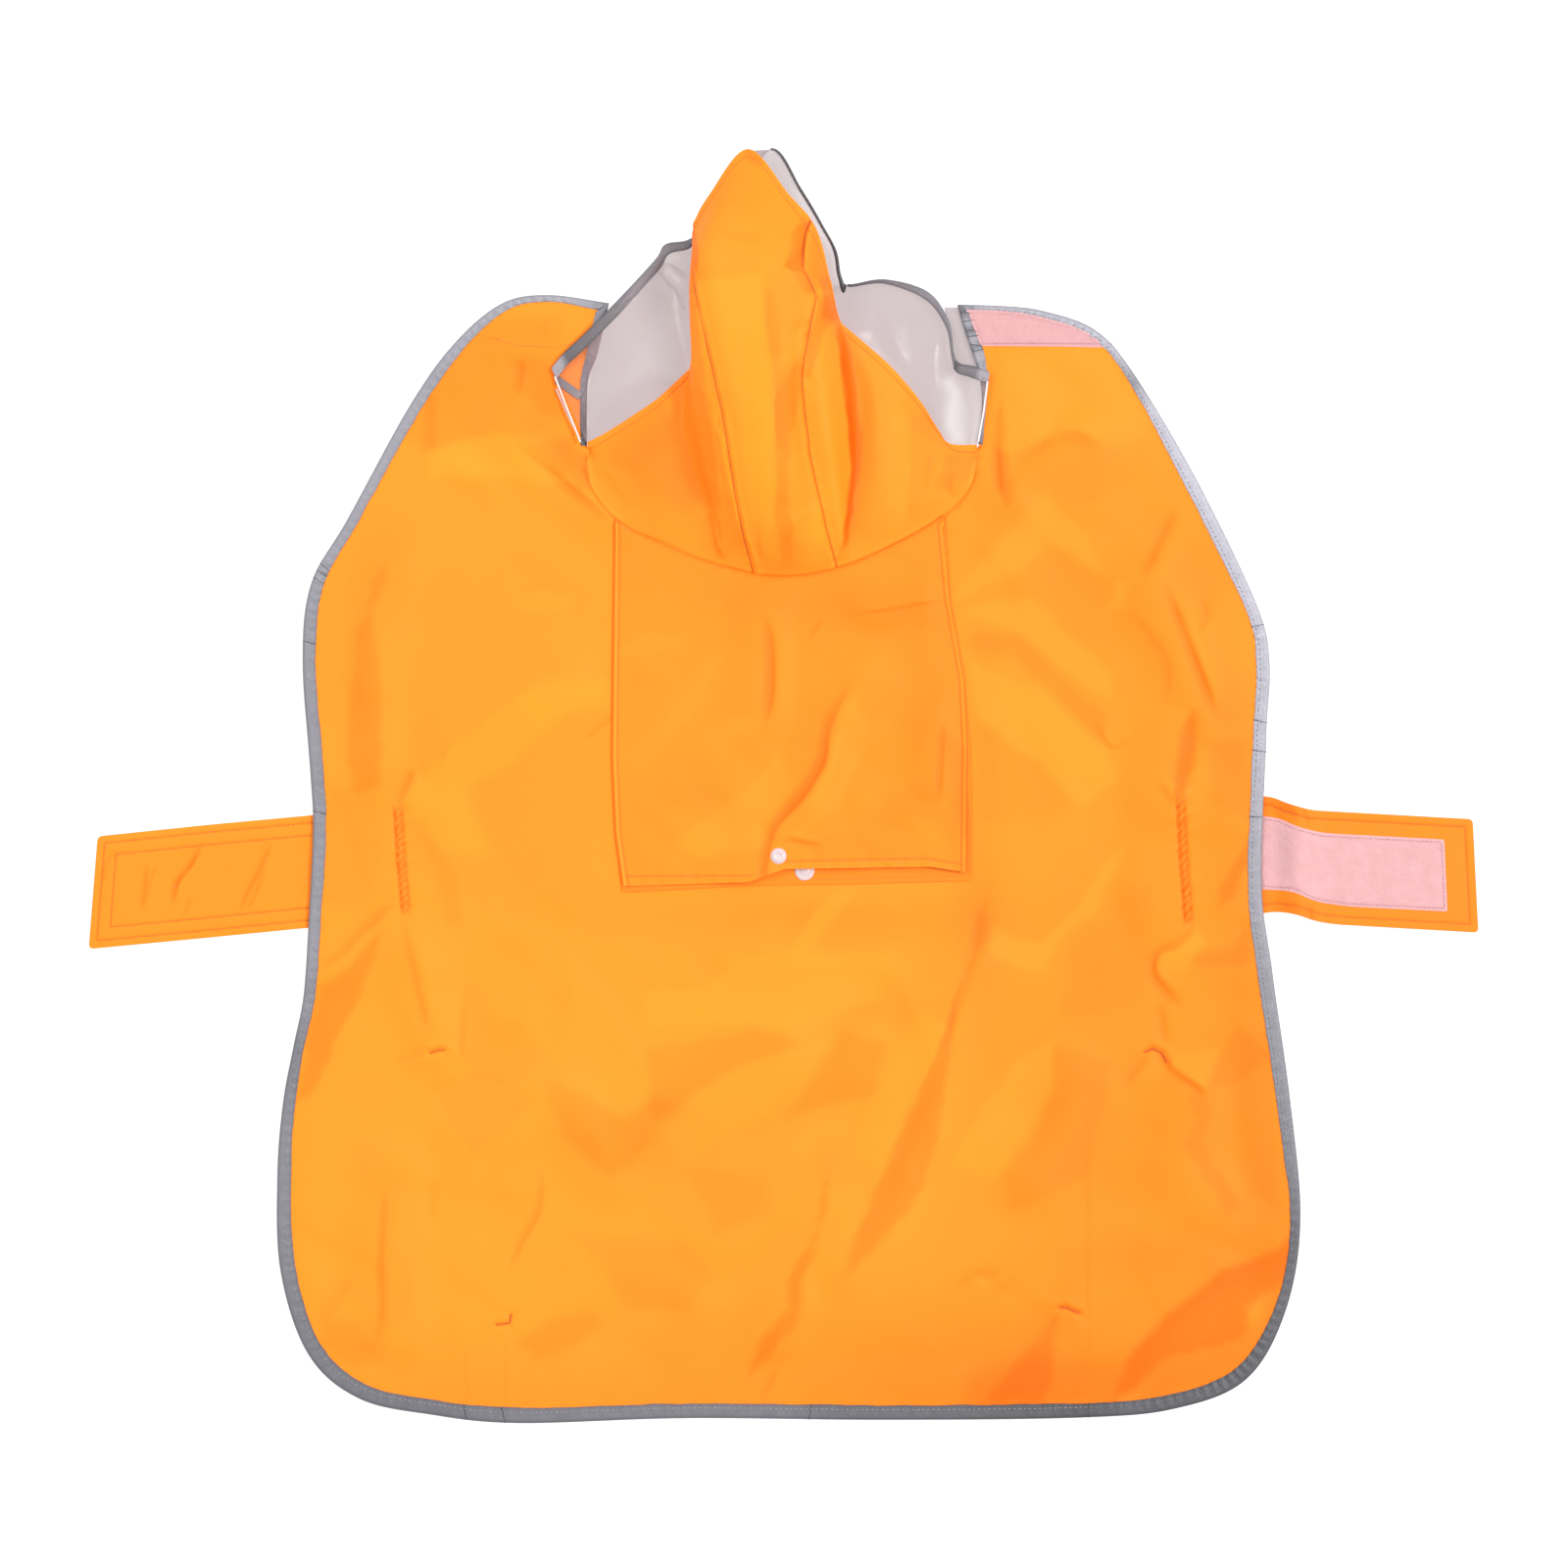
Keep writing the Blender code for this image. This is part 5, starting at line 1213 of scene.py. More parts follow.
def stitch_tree():
    """Small rounded stitches, spaced along every curve of the piece."""
    tree = bpy.data.node_groups.new("stitch row", "GeometryNodeTree")
    face = tree.interface
    face.new_socket("Geometry", in_out="INPUT", socket_type="NodeSocketGeometry")
    sizes = (("Pitch", 0.003), ("Length", 0.0022), ("Width", 0.0005), ("Height", 0.0004))
    for label, value in sizes:
        face.new_socket(label, in_out="INPUT", socket_type="NodeSocketFloat").default_value = value
    face.new_socket("Thread", in_out="INPUT", socket_type="NodeSocketMaterial")
    face.new_socket("Geometry", in_out="OUTPUT", socket_type="NodeSocketGeometry")
    new, link = tree.nodes.new, tree.links.new
    start, end = new("NodeGroupInput"), new("NodeGroupOutput")
    points = new("GeometryNodeCurveToPoints")
    points.mode = "LENGTH"
    link(start.outputs["Geometry"], points.inputs["Curve"])
    link(start.outputs["Pitch"], points.inputs["Length"])
    ball = new("GeometryNodeMeshUVSphere")
    ball.inputs["Segments"].default_value = 6
    ball.inputs["Rings"].default_value = 4
    ball.inputs["Radius"].default_value = 0.5
    size = new("ShaderNodeCombineXYZ")
    for label, axis in (("Length", "X"), ("Width", "Y"), ("Height", "Z")):
        link(start.outputs[label], size.inputs[axis])
    shaped = new("GeometryNodeTransform")
    link(ball.outputs["Mesh"], shaped.inputs["Geometry"])
    link(size.outputs[0], shaped.inputs["Scale"])
    smooth = new("GeometryNodeSetShadeSmooth")
    link(shaped.outputs[0], smooth.inputs["Geometry"])
    along = new("FunctionNodeAlignRotationToVector")
    along.axis = "X"
    link(points.outputs["Tangent"], along.inputs["Vector"])
    uneven = new("FunctionNodeRandomValue")
    uneven.data_type = "FLOAT"
    uneven.inputs[2].default_value = 0.85
    uneven.inputs[3].default_value = 1.12
    uneven.inputs["Seed"].default_value = SEED
    rows = new("GeometryNodeInstanceOnPoints")
    link(points.outputs["Points"], rows.inputs["Points"])
    link(smooth.outputs[0], rows.inputs["Instance"])
    link(along.outputs[0], rows.inputs["Rotation"])
    link(uneven.outputs[1], rows.inputs["Scale"])
    real = new("GeometryNodeRealizeInstances")
    link(rows.outputs[0], real.inputs[0])
    finish = new("GeometryNodeSetMaterial")
    link(real.outputs[0], finish.inputs["Geometry"])
    link(start.outputs["Thread"], finish.inputs["Material"])
    link(finish.outputs[0], end.inputs[0])
    return tree


STITCHES = stitch_tree()


def sew(name, paths, material, slot, pitch=3.0, length=2.2, width=0.55, height=0.45):
    """One piece for all stitches of a kind: paths are lists of points in millimetres."""
    curve = bpy.data.curves.new(name, "CURVE")
    curve.dimensions = "3D"
    for path in paths:
        places = world(path)
        line = curve.splines.new("POLY")
        line.points.add(len(places) - 1)
        line.points.foreach_set("co", np.column_stack([places, np.ones(len(places))]).ravel())
    holder = bpy.data.objects.new(name + "_path", curve)
    bpy.context.collection.objects.link(holder)
    modifier = holder.modifiers.new("stitches", "NODES")
    modifier.node_group = STITCHES
    sockets = {s.name: s.identifier for s in STITCHES.interface.items_tree
               if s.item_type == "SOCKET" and s.in_out == "INPUT"}
    for label, value in (("Pitch", pitch), ("Length", length), ("Width", width), ("Height", height)):
        modifier[sockets[label]] = value * MM
    modifier[sockets["Thread"]] = material
    graph = bpy.context.evaluated_depsgraph_get()
    mesh = bpy.data.meshes.new_from_object(holder.evaluated_get(graph))
    mesh.name = name
    bpy.data.objects.remove(holder, do_unlink=True)
    piece = bpy.data.objects.new(name, mesh)
    bpy.context.collection.objects.link(piece)
    return dress(piece, material, slot)


def on_cloth(path, top, lift=0.05):
    xy = np.asarray(path)[:, :2]
    return np.column_stack([xy, top(xy) + lift])


def beside(path, offset):
    """A line in plan at an even distance to the left of a path."""
    line = straight(path, 1.0)
    return line + left_normals(line) * offset


# ---------------------------------------------------------------- the body and its tape

def seam_tone(xy, lines, reach, amount):
    apart = np.full(len(xy), np.inf)
    for line in lines:
        apart = np.minimum(apart, near(xy, line)[0])
    return amount * bell(apart, 0, reach)


def panel_tone(xy):
    # The body panel's tone: painted shade and light from its ovals, facets and creases, and a dark line at
    # the neck seam.
    creases = np.clip(fold_depth(xy, PANEL_FOLDS, 100), -2, 1.2)
    tone = shade_at(xy, PANEL_SHADES) + 0.02 * creases + 0.05 * crease_tone(xy, PANEL_FOLDS, 100)
    tone += 1.5 * patch_tone(xy, PANEL_PATCHES)
    tone += seam_tone(xy, [neck_curve], 1.1, -0.16)
    # Each strap seam's bunched rope: painted shade between its twists, and a darker line along its stitches.
    for seam in STRAP_SEAMS:
        apart, place, side = near(xy, seam)
        held = ramp(np.abs(place - 0.5), 0.44, 0.5)
        run = place * STRAP_SEAM_LENGTH + 0.9 * apart * side
        cells = np.cos(2 * np.pi * run / 4.6 + 1.6 * waves(xy, 7, 5))
        tone -= held * (0.12 + 0.10 * cells) * ramp(apart, 1.8, 3.6)
        tone -= held * (0.08 + 0.05 * waves(xy, 5, 8)) * bell(apart, STRAP_SEAM_HALF, 0.6)
    for tack in TACKS:
        tone -= 0.22 * bell(near(xy, tack)[0], 0, 1)
    return tone


def pouch_tone(xy):
    # The pouch front's tone: painted shade and light from its ovals, facets and creases, and dark lines at
    # its hems and the neck seam.
    creases = np.clip(fold_depth(xy, POUCH_FOLDS, 300), -2, 1.2)
    tone = -0.02 + shade_at(xy, POUCH_SHADES) + 0.02 * creases
    tone += 0.05 * crease_tone(xy, POUCH_FOLDS, 300) + patch_tone(xy, POUCH_PATCHES)
    sides = np.minimum(near(xy, POUCH_LEFT_SIDE)[0], near(xy, POUCH_RIGHT_SIDE)[0])
    # Painted light on the rolled sides, painted shade in the sunk row of stitches beside them, and a painted
    # shadow at their outer edge.
    tone += -0.15 * bell(sides, 2.9, 0.5) + 0.12 * bell(sides, 1.5, 0.8)
    tone += -0.18 * bell(sides, 0, 0.4)
    tone += seam_tone(xy, [LEFT_HEM, RIGHT_HEM], 0.7, -0.12)
    return tone - 0.03 + seam_tone(xy, [neck_curve], 1.1, -0.14)


def ways_in(edge):
    """The way in from each point of the bound edge, shared between both sides of a sharp corner."""
    inward = left_normals(edge)
    for corner in CORNERS:
        before = edge[corner] - edge[corner - 1]
        after = edge[corner + 1] - edge[corner]
        sides = [np.array([-v[1], v[0]]) / np.hypot(*v) for v in (before, after)]
        for other in range(corner - 1, corner + 2):
            inward[other] = sides[0] if other < corner else sides[1]
        middle = (sides[0] + sides[1]) / np.linalg.norm(sides[0] + sides[1])
        inward[corner] = middle / middle.dot(sides[0])
    return inward


edge_inward = ways_in(body_edge)
edge_run = lengths_along(body_edge)


def station_at(spot):
    return int(np.argmin(np.linalg.norm(body_edge - np.array(spot), axis=1)))


def inner_points(first, last, reach):
    """Points at a reach inside the edge, drawn together at a sharp corner so that none cross."""
    rows = slice(first, last + 1)
    reach = np.broadcast_to(reach, (last + 1 - first,))
    spots = body_edge[rows] + edge_inward[rows] * reach[:, None]
    for corner in CORNERS:
        if first <= corner <= last:
            mitre = edge_inward[corner]
            bite = math.sqrt(max(mitre.dot(mitre) - 1, 0))
            tucked = np.abs(edge_run[rows] - edge_run[corner]) < reach * bite
            spots[tucked] = (body_edge[corner] + mitre * reach[:, None])[tucked]
    return spots


TAPE_PROFILE = [    # across the tape: share of its width, then millimetres in and up from the middle
    (1.0, 0.0, 0.30), (1.0, 0.12, 0.52), (1.0, 0.0, 0.74), (0.85, 0, 0.84), (0.66, 0, 0.86),
    (0.45, 0, 1.0), (0.25, 0, 1.08), (0.0, 1.1, 1.02), (0.0, 0.45, 0.75), (0.0, 0.12, 0.4),
    (0.0, 0.0, 0.0), (0.0, 0.12, -0.5), (0.0, 0.5, -1.0), (0.0, 1.3, -1.4), (0.5, 0, -1.5),
    (1.0, 0.0, -1.45), (1.0, 0.0, -0.9), (0.0, 1.9, -0.7), (0.0, 1.3, 0.0), (0.0, 1.9, 0.34)]


# Dark marks where tapes join, and painted shade of the sharp little wrinkles across them: place on the edge,
# and lean.
TAPE_MARKS = [
    (-118, 261, 0.1), (-292, 87, 0.2), (-287, -17, 0.3), (-194, -388, -0.3), (-170, -388, -0.3),
    (107.5, 288, 0.4), (109, 283, 0.1), (110.5, 278, 0.5), (112, 273, 0.2), (113.5, 269, 0.5),
    (115, 264, 0.1), (15, -388, 0.2), (186, -388, 0.1), (291, 97, 0.1), (-281, 133, 0.2), (-283, 129, 0.1),
    (-285, 125, 0.2), (293, 38, 0.2), (293, 20, 0.1), (292, -20, 0)]
# Painted light and shade along the tape: how bright it lies at shares of the whole edge, paler where it
# catches the light.
TAPE_TONES = [
    (0, 0.35), (0.008, 0.5), (0.012, 0.95), (0.022, 1), (0.024, 1.8), (0.031, 1.9), (0.0345, 1),
    (0.039, 0.85), (0.043, 1.15), (0.048, 1.4), (0.06, 1.32), (0.09, 1.17), (0.13, 1.16), (0.14, 1.08),
    (0.15, 1.12), (0.17, 0.99), (0.21, 0.92), (0.26, 1.03), (0.272, 0.92), (0.284, 0.7), (0.31, 0.86),
    (0.33, 0.84), (0.345, 0.74), (0.37, 0.66), (0.4, 0.59), (0.425, 0.66), (0.45, 0.7), (0.5, 0.66),
    (0.512, 0.53), (0.522, 0.5), (0.546, 0.475), (0.558, 0.39), (0.57, 0.35), (0.582, 0.3), (0.594, 0.37),
    (0.606, 0.35), (0.618, 0.365), (0.63, 0.35), (0.642, 0.39), (0.654, 0.44), (0.666, 0.43), (0.678, 0.62),
    (0.69, 0.77), (0.714, 0.91), (0.726, 0.97), (0.738, 1.09), (0.75, 1.17), (0.762, 1.17), (0.786, 1.34),
    (0.798, 1.47), (0.81, 1.55), (0.84, 1.76), (0.858, 1.72), (0.87, 1.8), (0.898, 1.75), (0.906, 1),
    (0.915, 1.62), (0.935, 1.52), (0.954, 1.5), (0.961, 0.8), (0.9645, 0.6), (0.967, 1.2), (0.9695, 0.6),
    (0.972, 1.3), (0.974, 0.7), (0.977, 1.4), (0.979, 1), (0.982, 1.6), (0.99, 1.3), (1, 0.6)]


def add_binding():
    edge, run, widths = body_edge, edge_run, edge_rows[:, 2]
    starts = [station_at(spot) for _, spot in BINDING_JOINTS]
    starts[0] = 0
    starts[-1] = CORNERS[1]
    ends = starts[1:] + [LAST_STATION]
    bend = np.linalg.norm(np.gradient(np.gradient(edge, axis=0), axis=0), axis=1)
    bend = np.convolve(bend, np.ones(9) / 9, "same")
    wobble = 0.35 * waves(edge, 17, 3) + 0.2 * waves(edge, 6, 4)
    painted_tape_light = np.interp(run / run[-1], *zip(*TAPE_TONES))
    stitches = {True: [], False: []}
    for (name, _), first, last in zip(BINDING_JOINTS, starts, ends):
        rows = slice(first, last + 1)
        grid = []
        for share, across, up in TAPE_PROFILE:
            reach = share * (widths[rows] + wobble[rows]) + across
            spots = inner_points(first, last, reach)
            held = inner_points(first, last, np.maximum(reach, TUCKED))
            middle = panel_top(held) - CLOTH / 2
            pucker = 0.0
            if share > 0.3 and up > 0:
                amount = 0.10 + np.clip(bend[rows] * 9, 0, 0.3)
                pucker = amount * np.sin(run[rows] * 2 * np.pi / 6.3 + 2 * waves(edge[rows], 11, 8))
            elif up > 0:
                pucker = 0.12 * waves(edge[rows], 7, 12)
            grid.append(np.column_stack([spots, np.maximum(middle + up + pucker, 0.03)]))
        grid = np.stack(grid, axis=1)               # [station, profile]
        piece = tube(f"tape_{name}", grid, painted_tape_light[rows], across_tone(TAPE_PROFILE, 0.80, 0.90))
        dress(piece, TAPE_FINISH, "binding", f"binding_{name}")
        sewn = inner_points(first, last, widths[rows] * TAPE_STITCH_PLACE)
        # The same thread takes another colour on the two tapes that lie in painted light.
        pale = name not in ("side_right", "flap_right")
        stitches[pale].append(np.column_stack([sewn, panel_top(sewn) - CLOTH / 2 + 1.02])[1:-1])
    sew("stitches_binding", stitches[True], PALE_THREAD, "binding", pitch=3.1, length=2.0, width=0.4)
    sew("stitches_binding_lit", stitches[False], LIT_TAPE_THREAD, "binding", pitch=3.1, length=2.2, width=0.42)
    marks = []
    for x, y, lean in TAPE_MARKS:
        i = station_at((x, y))
        run_in = edge_inward[i] + lean * np.array([edge_inward[i][1], -edge_inward[i][0]])
        spots = edge[i] + run_in * np.linspace(0.4, widths[i] - 0.2, 7)[:, None]
        marks.append(np.column_stack([spots, panel_top(spots) - CLOTH / 2 + 1.15]))
    sew("tape_marks", marks, DARK_TAPE_MARKS, "binding", pitch=0.9, length=1.2, width=0.5, height=0.6)


def across_tone(profile, inner, outer):
    """Painted shade across a tape: how dark it lies at its inner edge and at its fold, against its middle.
    """
    share = np.array([place[0] for place in profile])
    return (1.02 - (1.02 - inner) * bell(share, 1, 0.1)
            - (1.02 - outer) * bell(share, 0, 0.1))


def tube(name, grid, tones, across=1.0):
    """A closed skin round rings of points: grid is [ring, place], with both ends capped."""
    rings, sides = grid.shape[:2]
    tones = np.asarray(tones)[:, None] * np.broadcast_to(across, (rings, sides))
    index = np.arange(rings * sides).reshape(rings, sides)
    following = np.roll(index, -1, axis=1)
    quads = np.stack([index[:-1], index[1:], following[1:], following[:-1]], axis=-1).reshape(-1, 4)
    faces = quads.tolist() + [index[0].tolist(), index[-1][::-1].tolist()]
    return new_piece(name, grid.reshape(-1, 3), faces, tones.ravel())


# ---------------------------------------------------------------- the hood and its clear brim

def hood_grid():
    """The hood's outer face, [column, row], from the neck seam to the face edge, as its solid."""
    places = []
    for rib, following in zip(RIBS, RIBS[1:]):
        places += [rib.seam + (following.seam - rib.seam) * k / RIB_SPLIT for k in range(RIB_SPLIT)]
    places.append(RIBS[-1].seam)
    foot = points_at(neck_curve, places)
    raised = panel_under(foot) + WALL
    foot = np.column_stack([foot - left_normals(foot) * 0.5, raised])
    shares = np.linspace(0, 1, HOOD_ROWS + 1)
    ribs = []
    for i, rib in enumerate(RIBS):
        ribs.append(points_at(spline([foot[i * RIB_SPLIT], rib.low, rib.mid, rib.high, rib.face], 14),
                              shares))
    grid = np.stack([spline([rib[row] for rib in ribs], RIB_SPLIT)
                     for row in range(HOOD_ROWS + 1)], axis=1)
    grid[:, 0] = foot
    toward_face = 1 - ramp(shares, 0.72, 0.95)
    for first in STRAIGHT_SPANS:
        span = slice(first * RIB_SPLIT, (first + 1) * RIB_SPLIT + 1)
        share = np.linspace(0, 1, RIB_SPLIT + 1)[:, None, None]
        chord = grid[span][:1] * (1 - share) + grid[span][-1:] * share
        grid[span] += (chord - grid[span]) * toward_face[None, :, None]
    return grid


def seen(points):
    """Plan places as they fall on the table's plane from the camera above."""
    return points[..., :2] / (1 - points[..., 2:3] / CAMERA_HEIGHT)


def with_uneven_seam(grid):
    """The same form, with its right seam moved along the rows onto RIGHT_SEAM_LINE."""
    column = RIGHT_SEAM * RIB_SPLIT
    nearby = slice(column - RIB_SPLIT, column + RIB_SPLIT)
    line = xy_of(RIGHT_SEAM_LINE)
    for row in range(grid.shape[1]):
        flat = seen(grid[:, row])
        held = 1 - ramp(flat[column, 1], *RIGHT_SEAM_BEGINS)
        run = lengths_along(grid[:, row])
        beyond = flat[nearby, 0] - np.interp(flat[nearby, 1], line[:, 1], line[:, 0])
        shift = np.interp(0, beyond, run[nearby]) - run[column]
        share = ramp(np.abs(run - run[column]), 0, RIGHT_SEAM_REACH)
        grid[:, row] = points_at(grid[:, row], (run + held * shift * share) / run[-1])
    return grid


def hood_shape():
    grid = with_uneven_seam(hood_grid())
    normals = grid_normals(grid)
    flat = seen(grid).reshape(-1, 2)
    detail = fold_depth(flat, HOOD_FOLDS, 500) + 0.7 * rumple(flat, 44, 51)
    detail += 0.6 * long_folds(flat @ TURN, 60, 67)
    detail += facet_shape(flat, HOOD_FACETS)[0]
    rows = np.linspace(0, 1, HOOD_ROWS + 1)[None, :]
    fade = (1 - ramp(rows, 0.0, 0.05)) * (0.35 + 0.65 * ramp(rows, 0.86, 1.0))
    detail = detail.reshape(grid.shape[:2]) * fade
    for rib in (LEFT_SEAM, RIGHT_SEAM):
        detail += crown_seam_height(grid, rib)
    moved = grid + normals * detail[..., None]
    hem = np.linalg.norm(grid[:, -1:] - grid, axis=2)
    moved += normals * (0.35 * ramp(hem, HOOD_HEM, 6.4) - 0.25 * bell(hem, 5.4, 0.7))[..., None]
    moved[:, 0, 2] = grid[:, 0, 2] - 0.15
    moved[:, 1, 2] = np.maximum(moved[:, 1, 2], grid[:, 0, 2] + 0.2)
    tones = hood_tone(moved, hem)
    return moved, normals, tones


def apart_from_seam(grid, rib):
    """How far each point is from the seam at this rib, true near it and along its row elsewhere."""
    column = rib * RIB_SPLIT
    apart = np.linalg.norm(grid - grid[column][None], axis=2)
    nearby = slice(column - RIB_SPLIT, column + RIB_SPLIT + 1)
    line = points_at(grid[column], np.linspace(0, 1, 700))
    for row in range(grid.shape[1]):
        reach = np.linalg.norm(grid[nearby, row, None] - line[None], axis=2).min(axis=1)
        apart[nearby, row] = np.minimum(apart[nearby, row], reach)
    return apart


def crown_seam_height(grid, rib):
    """A sunk line at the seam, a rounded allowance beside it, and short puckers across it."""
    column = rib * RIB_SPLIT
    line = grid[column]
    apart = apart_from_seam(grid, rib)
    side = np.sign(np.arange(len(grid)) - column)[:, None]
    run = lengths_along(line)[None, :]
    inward = side * (1 if rib == LEFT_SEAM else -1)
    groove = -0.6 * bell(apart, 0, 0.6)
    allowance = 0.7 * bell(apart, 3.2, 2.0) * (inward > 0)
    pucker = 0.10 * np.sin(2 * np.pi * run / 8.5 + 1.8 * np.sin(run / 13)) * ramp(apart, 1, 9)
    return groove + allowance + pucker


def hood_tone(grid, hem):
    # The hood's tone: painted shade and light from its ovals, facets, patches and creases, with dark lines
    # at its seams and hem stitches.
    flat = seen(grid).reshape(-1, 2)
    creases = np.clip(fold_depth(flat, HOOD_FOLDS, 500), -2.2, 1.2)
    tone = shade_at(flat, HOOD_SHADES) + 0.03 * creases + 0.04 * crease_tone(flat, HOOD_FOLDS, 500)
    tone += facet_shape(flat, HOOD_FACETS)[1] + patch_tone(flat, HOOD_PATCHES)
    tone = tone.reshape(grid.shape[:2])
    for rib in (LEFT_SEAM, RIGHT_SEAM):
        tone -= 0.30 * bell(apart_from_seam(grid, rib), 0, 0.5)
    tone -= 0.05 * bell(hem, 5.4, 0.8)
    # Along the neck seam: painted light on the rolled rim just above it, and a dark line at the seam.
    rise = np.linalg.norm(grid - grid[:, :1], axis=2)
    tone += 0.04 * bell(rise, 2.6, 1.4) - 0.14 * bell(rise, 0, 1.2)
    return 1 + tone


def add_hood(grid, normals, tones):
    left, right = LEFT_SEAM * RIB_SPLIT, RIGHT_SEAM * RIB_SPLIT
    for name, first, last in (("hood_left", 0, left), ("hood_crown", left, right),
                              ("hood_right", right, len(grid) - 1)):
        outer = grid[first:last + 1]
        inner = outer - normals[first:last + 1] * CLOTH
        piece = wall_between("coat_" + name, outer, inner, tones[first:last + 1])
        dress(piece, CLOTH_FINISH, "coat_cloth", name)
    seams = [grid[rib * RIB_SPLIT, 2:-2] + (0, 0, 0.05) for rib in (LEFT_SEAM, RIGHT_SEAM)]
    sew("seams_hood", seams, BROWN_THREAD, "coat_cloth", pitch=2.2, length=2.3, width=0.5, height=0.4)
    sew("stitches_hood", [hem_line(grid, HOOD_HEM)], ORANGE_THREAD, "coat_cloth", pitch=3.0,
        length=2.0, width=0.4)


def hem_line(grid, inset):
    """A line on the hood at an even distance from the face edge."""
    line = []
    for column in grid:
        back = column[::-1]
        run = lengths_along(back)
        line.append([np.interp(inset, run, back[:, k]) for k in range(3)])
    line = np.array(line)
    line[:, 2] += 0.12
    return line


FILM_HALF = 0.18
ROLL_SIDES = 8
BRIM_PROFILE = [(1.0, 0.25), (1.0, 0.62), (0.8, 0.8), (0.45, 0.95), (0.16, 0.85), (0.04, 0.45),
                (0.0, 0.0), (0.04, -0.45), (0.16, -0.85), (0.45, -0.95), (0.8, -0.8), (1.0, -0.62),
                (1.0, -0.25), (0.3, -0.3), (0.22, 0.0), (0.3, 0.3)]
# Each brim tape's name, its first and last rib, its part, its widths, and its tones: painted light and shade
# along it.
BRIM_TAPES = table(BrimTape, [
    ("brim_tape_left", 0, 6, "brim_binding_left", (7, 7, 6.4),
     (3.6, 3.2, 0.8, 0.95, 1, 1.1, 1.3, 1.7, 1.8, 1.8, 1.7, 1.5, 1.2)),
    ("brim_tape_top", 6, 9, "brim_binding_top", (6.4, 4, 2.6), (1.2, 1, 1)),
    ("brim_tape_side", 9, 12.8, "brim_binding_side", (2.4, 4.6, 7), (0.9, 0.6, 0.4, 0.2)),
    ("brim_tape_right", 12.95, 17, "brim_binding_right", (1.4, 2.6, 5, 4.4, 3.8), (0.5, 1.5, 1.2)),
    ("brim_tape_end", 17, 19, "brim_binding_end", (5.5, 7, 7), (0.35, 1.15, 1.2, 1.2, 3, 2.6))])


def brim_shape(grid, normals):
    """The film's middle surface, from the face edge to the rim."""
    rims = spline([rib.rim for rib in RIBS], RIB_SPLIT)
    along = np.arange(len(rims)) / RIB_SPLIT
    rims[:, :2] += bell(along, RIM_BULGE_RIB, RIM_BULGE_HALF)[:, None] * RIM_BULGE
    outwards = grid[:, -1] - grid[:, -4]
    outwards /= np.linalg.norm(outwards, axis=1)[:, None]
    start = grid[:, -1] - normals[:, -1] * 0.6 - outwards * 1.2
    back = start - rims
    back /= np.linalg.norm(back, axis=1)[:, None]
    held = rims + back * (BRIM_BINDING_WIDTH + 1)
    shares = np.linspace(0, 1, BRIM_ROWS - 3)[None, :, None]
    free = start[:, None] * (1 - shares) + held[:, None] * shares
    tucked = [rims + back * reach for reach in (5.5, 3.2, 1.2)]
    film = np.concatenate([free, np.stack(tucked, axis=1)], axis=1)
    flat = film[..., :2].reshape(-1, 2)
    ripple = (0.7 * waves(flat, 26, 71) + 0.35 * waves(flat @ TURN, 11, 72)).reshape(film.shape[:2])
    creases = fold_depth(seen(film).reshape(-1, 2), FILM_FOLDS, 700).reshape(film.shape[:2])
    rows = np.linspace(0, 1, film.shape[1])[None, :]
    ease = (1 - ramp(rows, 0.0, 0.2)) * ramp(rows, 0.72, 0.9)
    film[..., 2] = np.maximum(film[..., 2] + (ripple + creases) * ease, 0.5)
    return film, rims, back


def add_brim(grid, normals):
    film, rims, back = brim_shape(grid, normals)
    faces_up = grid_normals(film)
    faces_up[faces_up[..., 2] < 0] *= -1
    # The film's tone from its patches, which holds painted highlight and painted shade as well as how clear
    # it is.
    edge = 1.0 + patch_tone(seen(film).reshape(-1, 2), FILM_PATCHES).reshape(film.shape[:2])
    piece = wall_between("clear_brim", film + faces_up * FILM_HALF, film - faces_up * FILM_HALF, edge)
    rolled = [film_roll(np.array(line, float), lift, radius) for line, lift, radius in FILM_ROLLS]
    rolled.append(film_tongue())
    join(piece, rolled)
    dress(piece, FILM_FINISH, "film", "brim_film")
    stitches = []
    for tape in BRIM_TAPES:
        rows = slice(int(tape.first * RIB_SPLIT), int(tape.last * RIB_SPLIT) + 1)
        count = rows.stop - rows.start
        where = np.linspace(0, 1, count)
        widths = np.interp(where, np.linspace(0, 1, len(tape.widths)), tape.widths)
        tones = np.interp(where, np.linspace(0, 1, len(tape.tones)), tape.tones)
        up = faces_up[rows, -6].copy()
        up = np.stack([np.convolve(np.pad(up[:, k], 4, "edge"), np.ones(9) / 9, "valid")
                       for k in range(3)], axis=1)
        ring = []
        for share, rise in BRIM_PROFILE:
            reach = widths * share + 0.2 * waves(rims[rows, :2], 9, 75) * share
            ring.append(rims[rows] + back[rows] * reach[:, None] + up * rise)
        rings = np.stack(ring, axis=1)
        rings[..., 2] = np.maximum(rings[..., 2], 0.1)
        cloth = tube(tape.name, rings, tones, across_tone(BRIM_PROFILE, 0.6, 0.65))
        if tape.name == "brim_tape_left":
            join(cloth, [folded_tab()])
        dress(cloth, BRIM_TAPE_FINISH, "brim_binding", tape.node)
        stitches.append(rims[rows] + back[rows] * (widths * 0.74)[:, None] + up * 0.9)
    sew("stitches_brim", stitches, GREY_THREAD, "brim_binding", pitch=3.0, length=2.0, width=0.4)


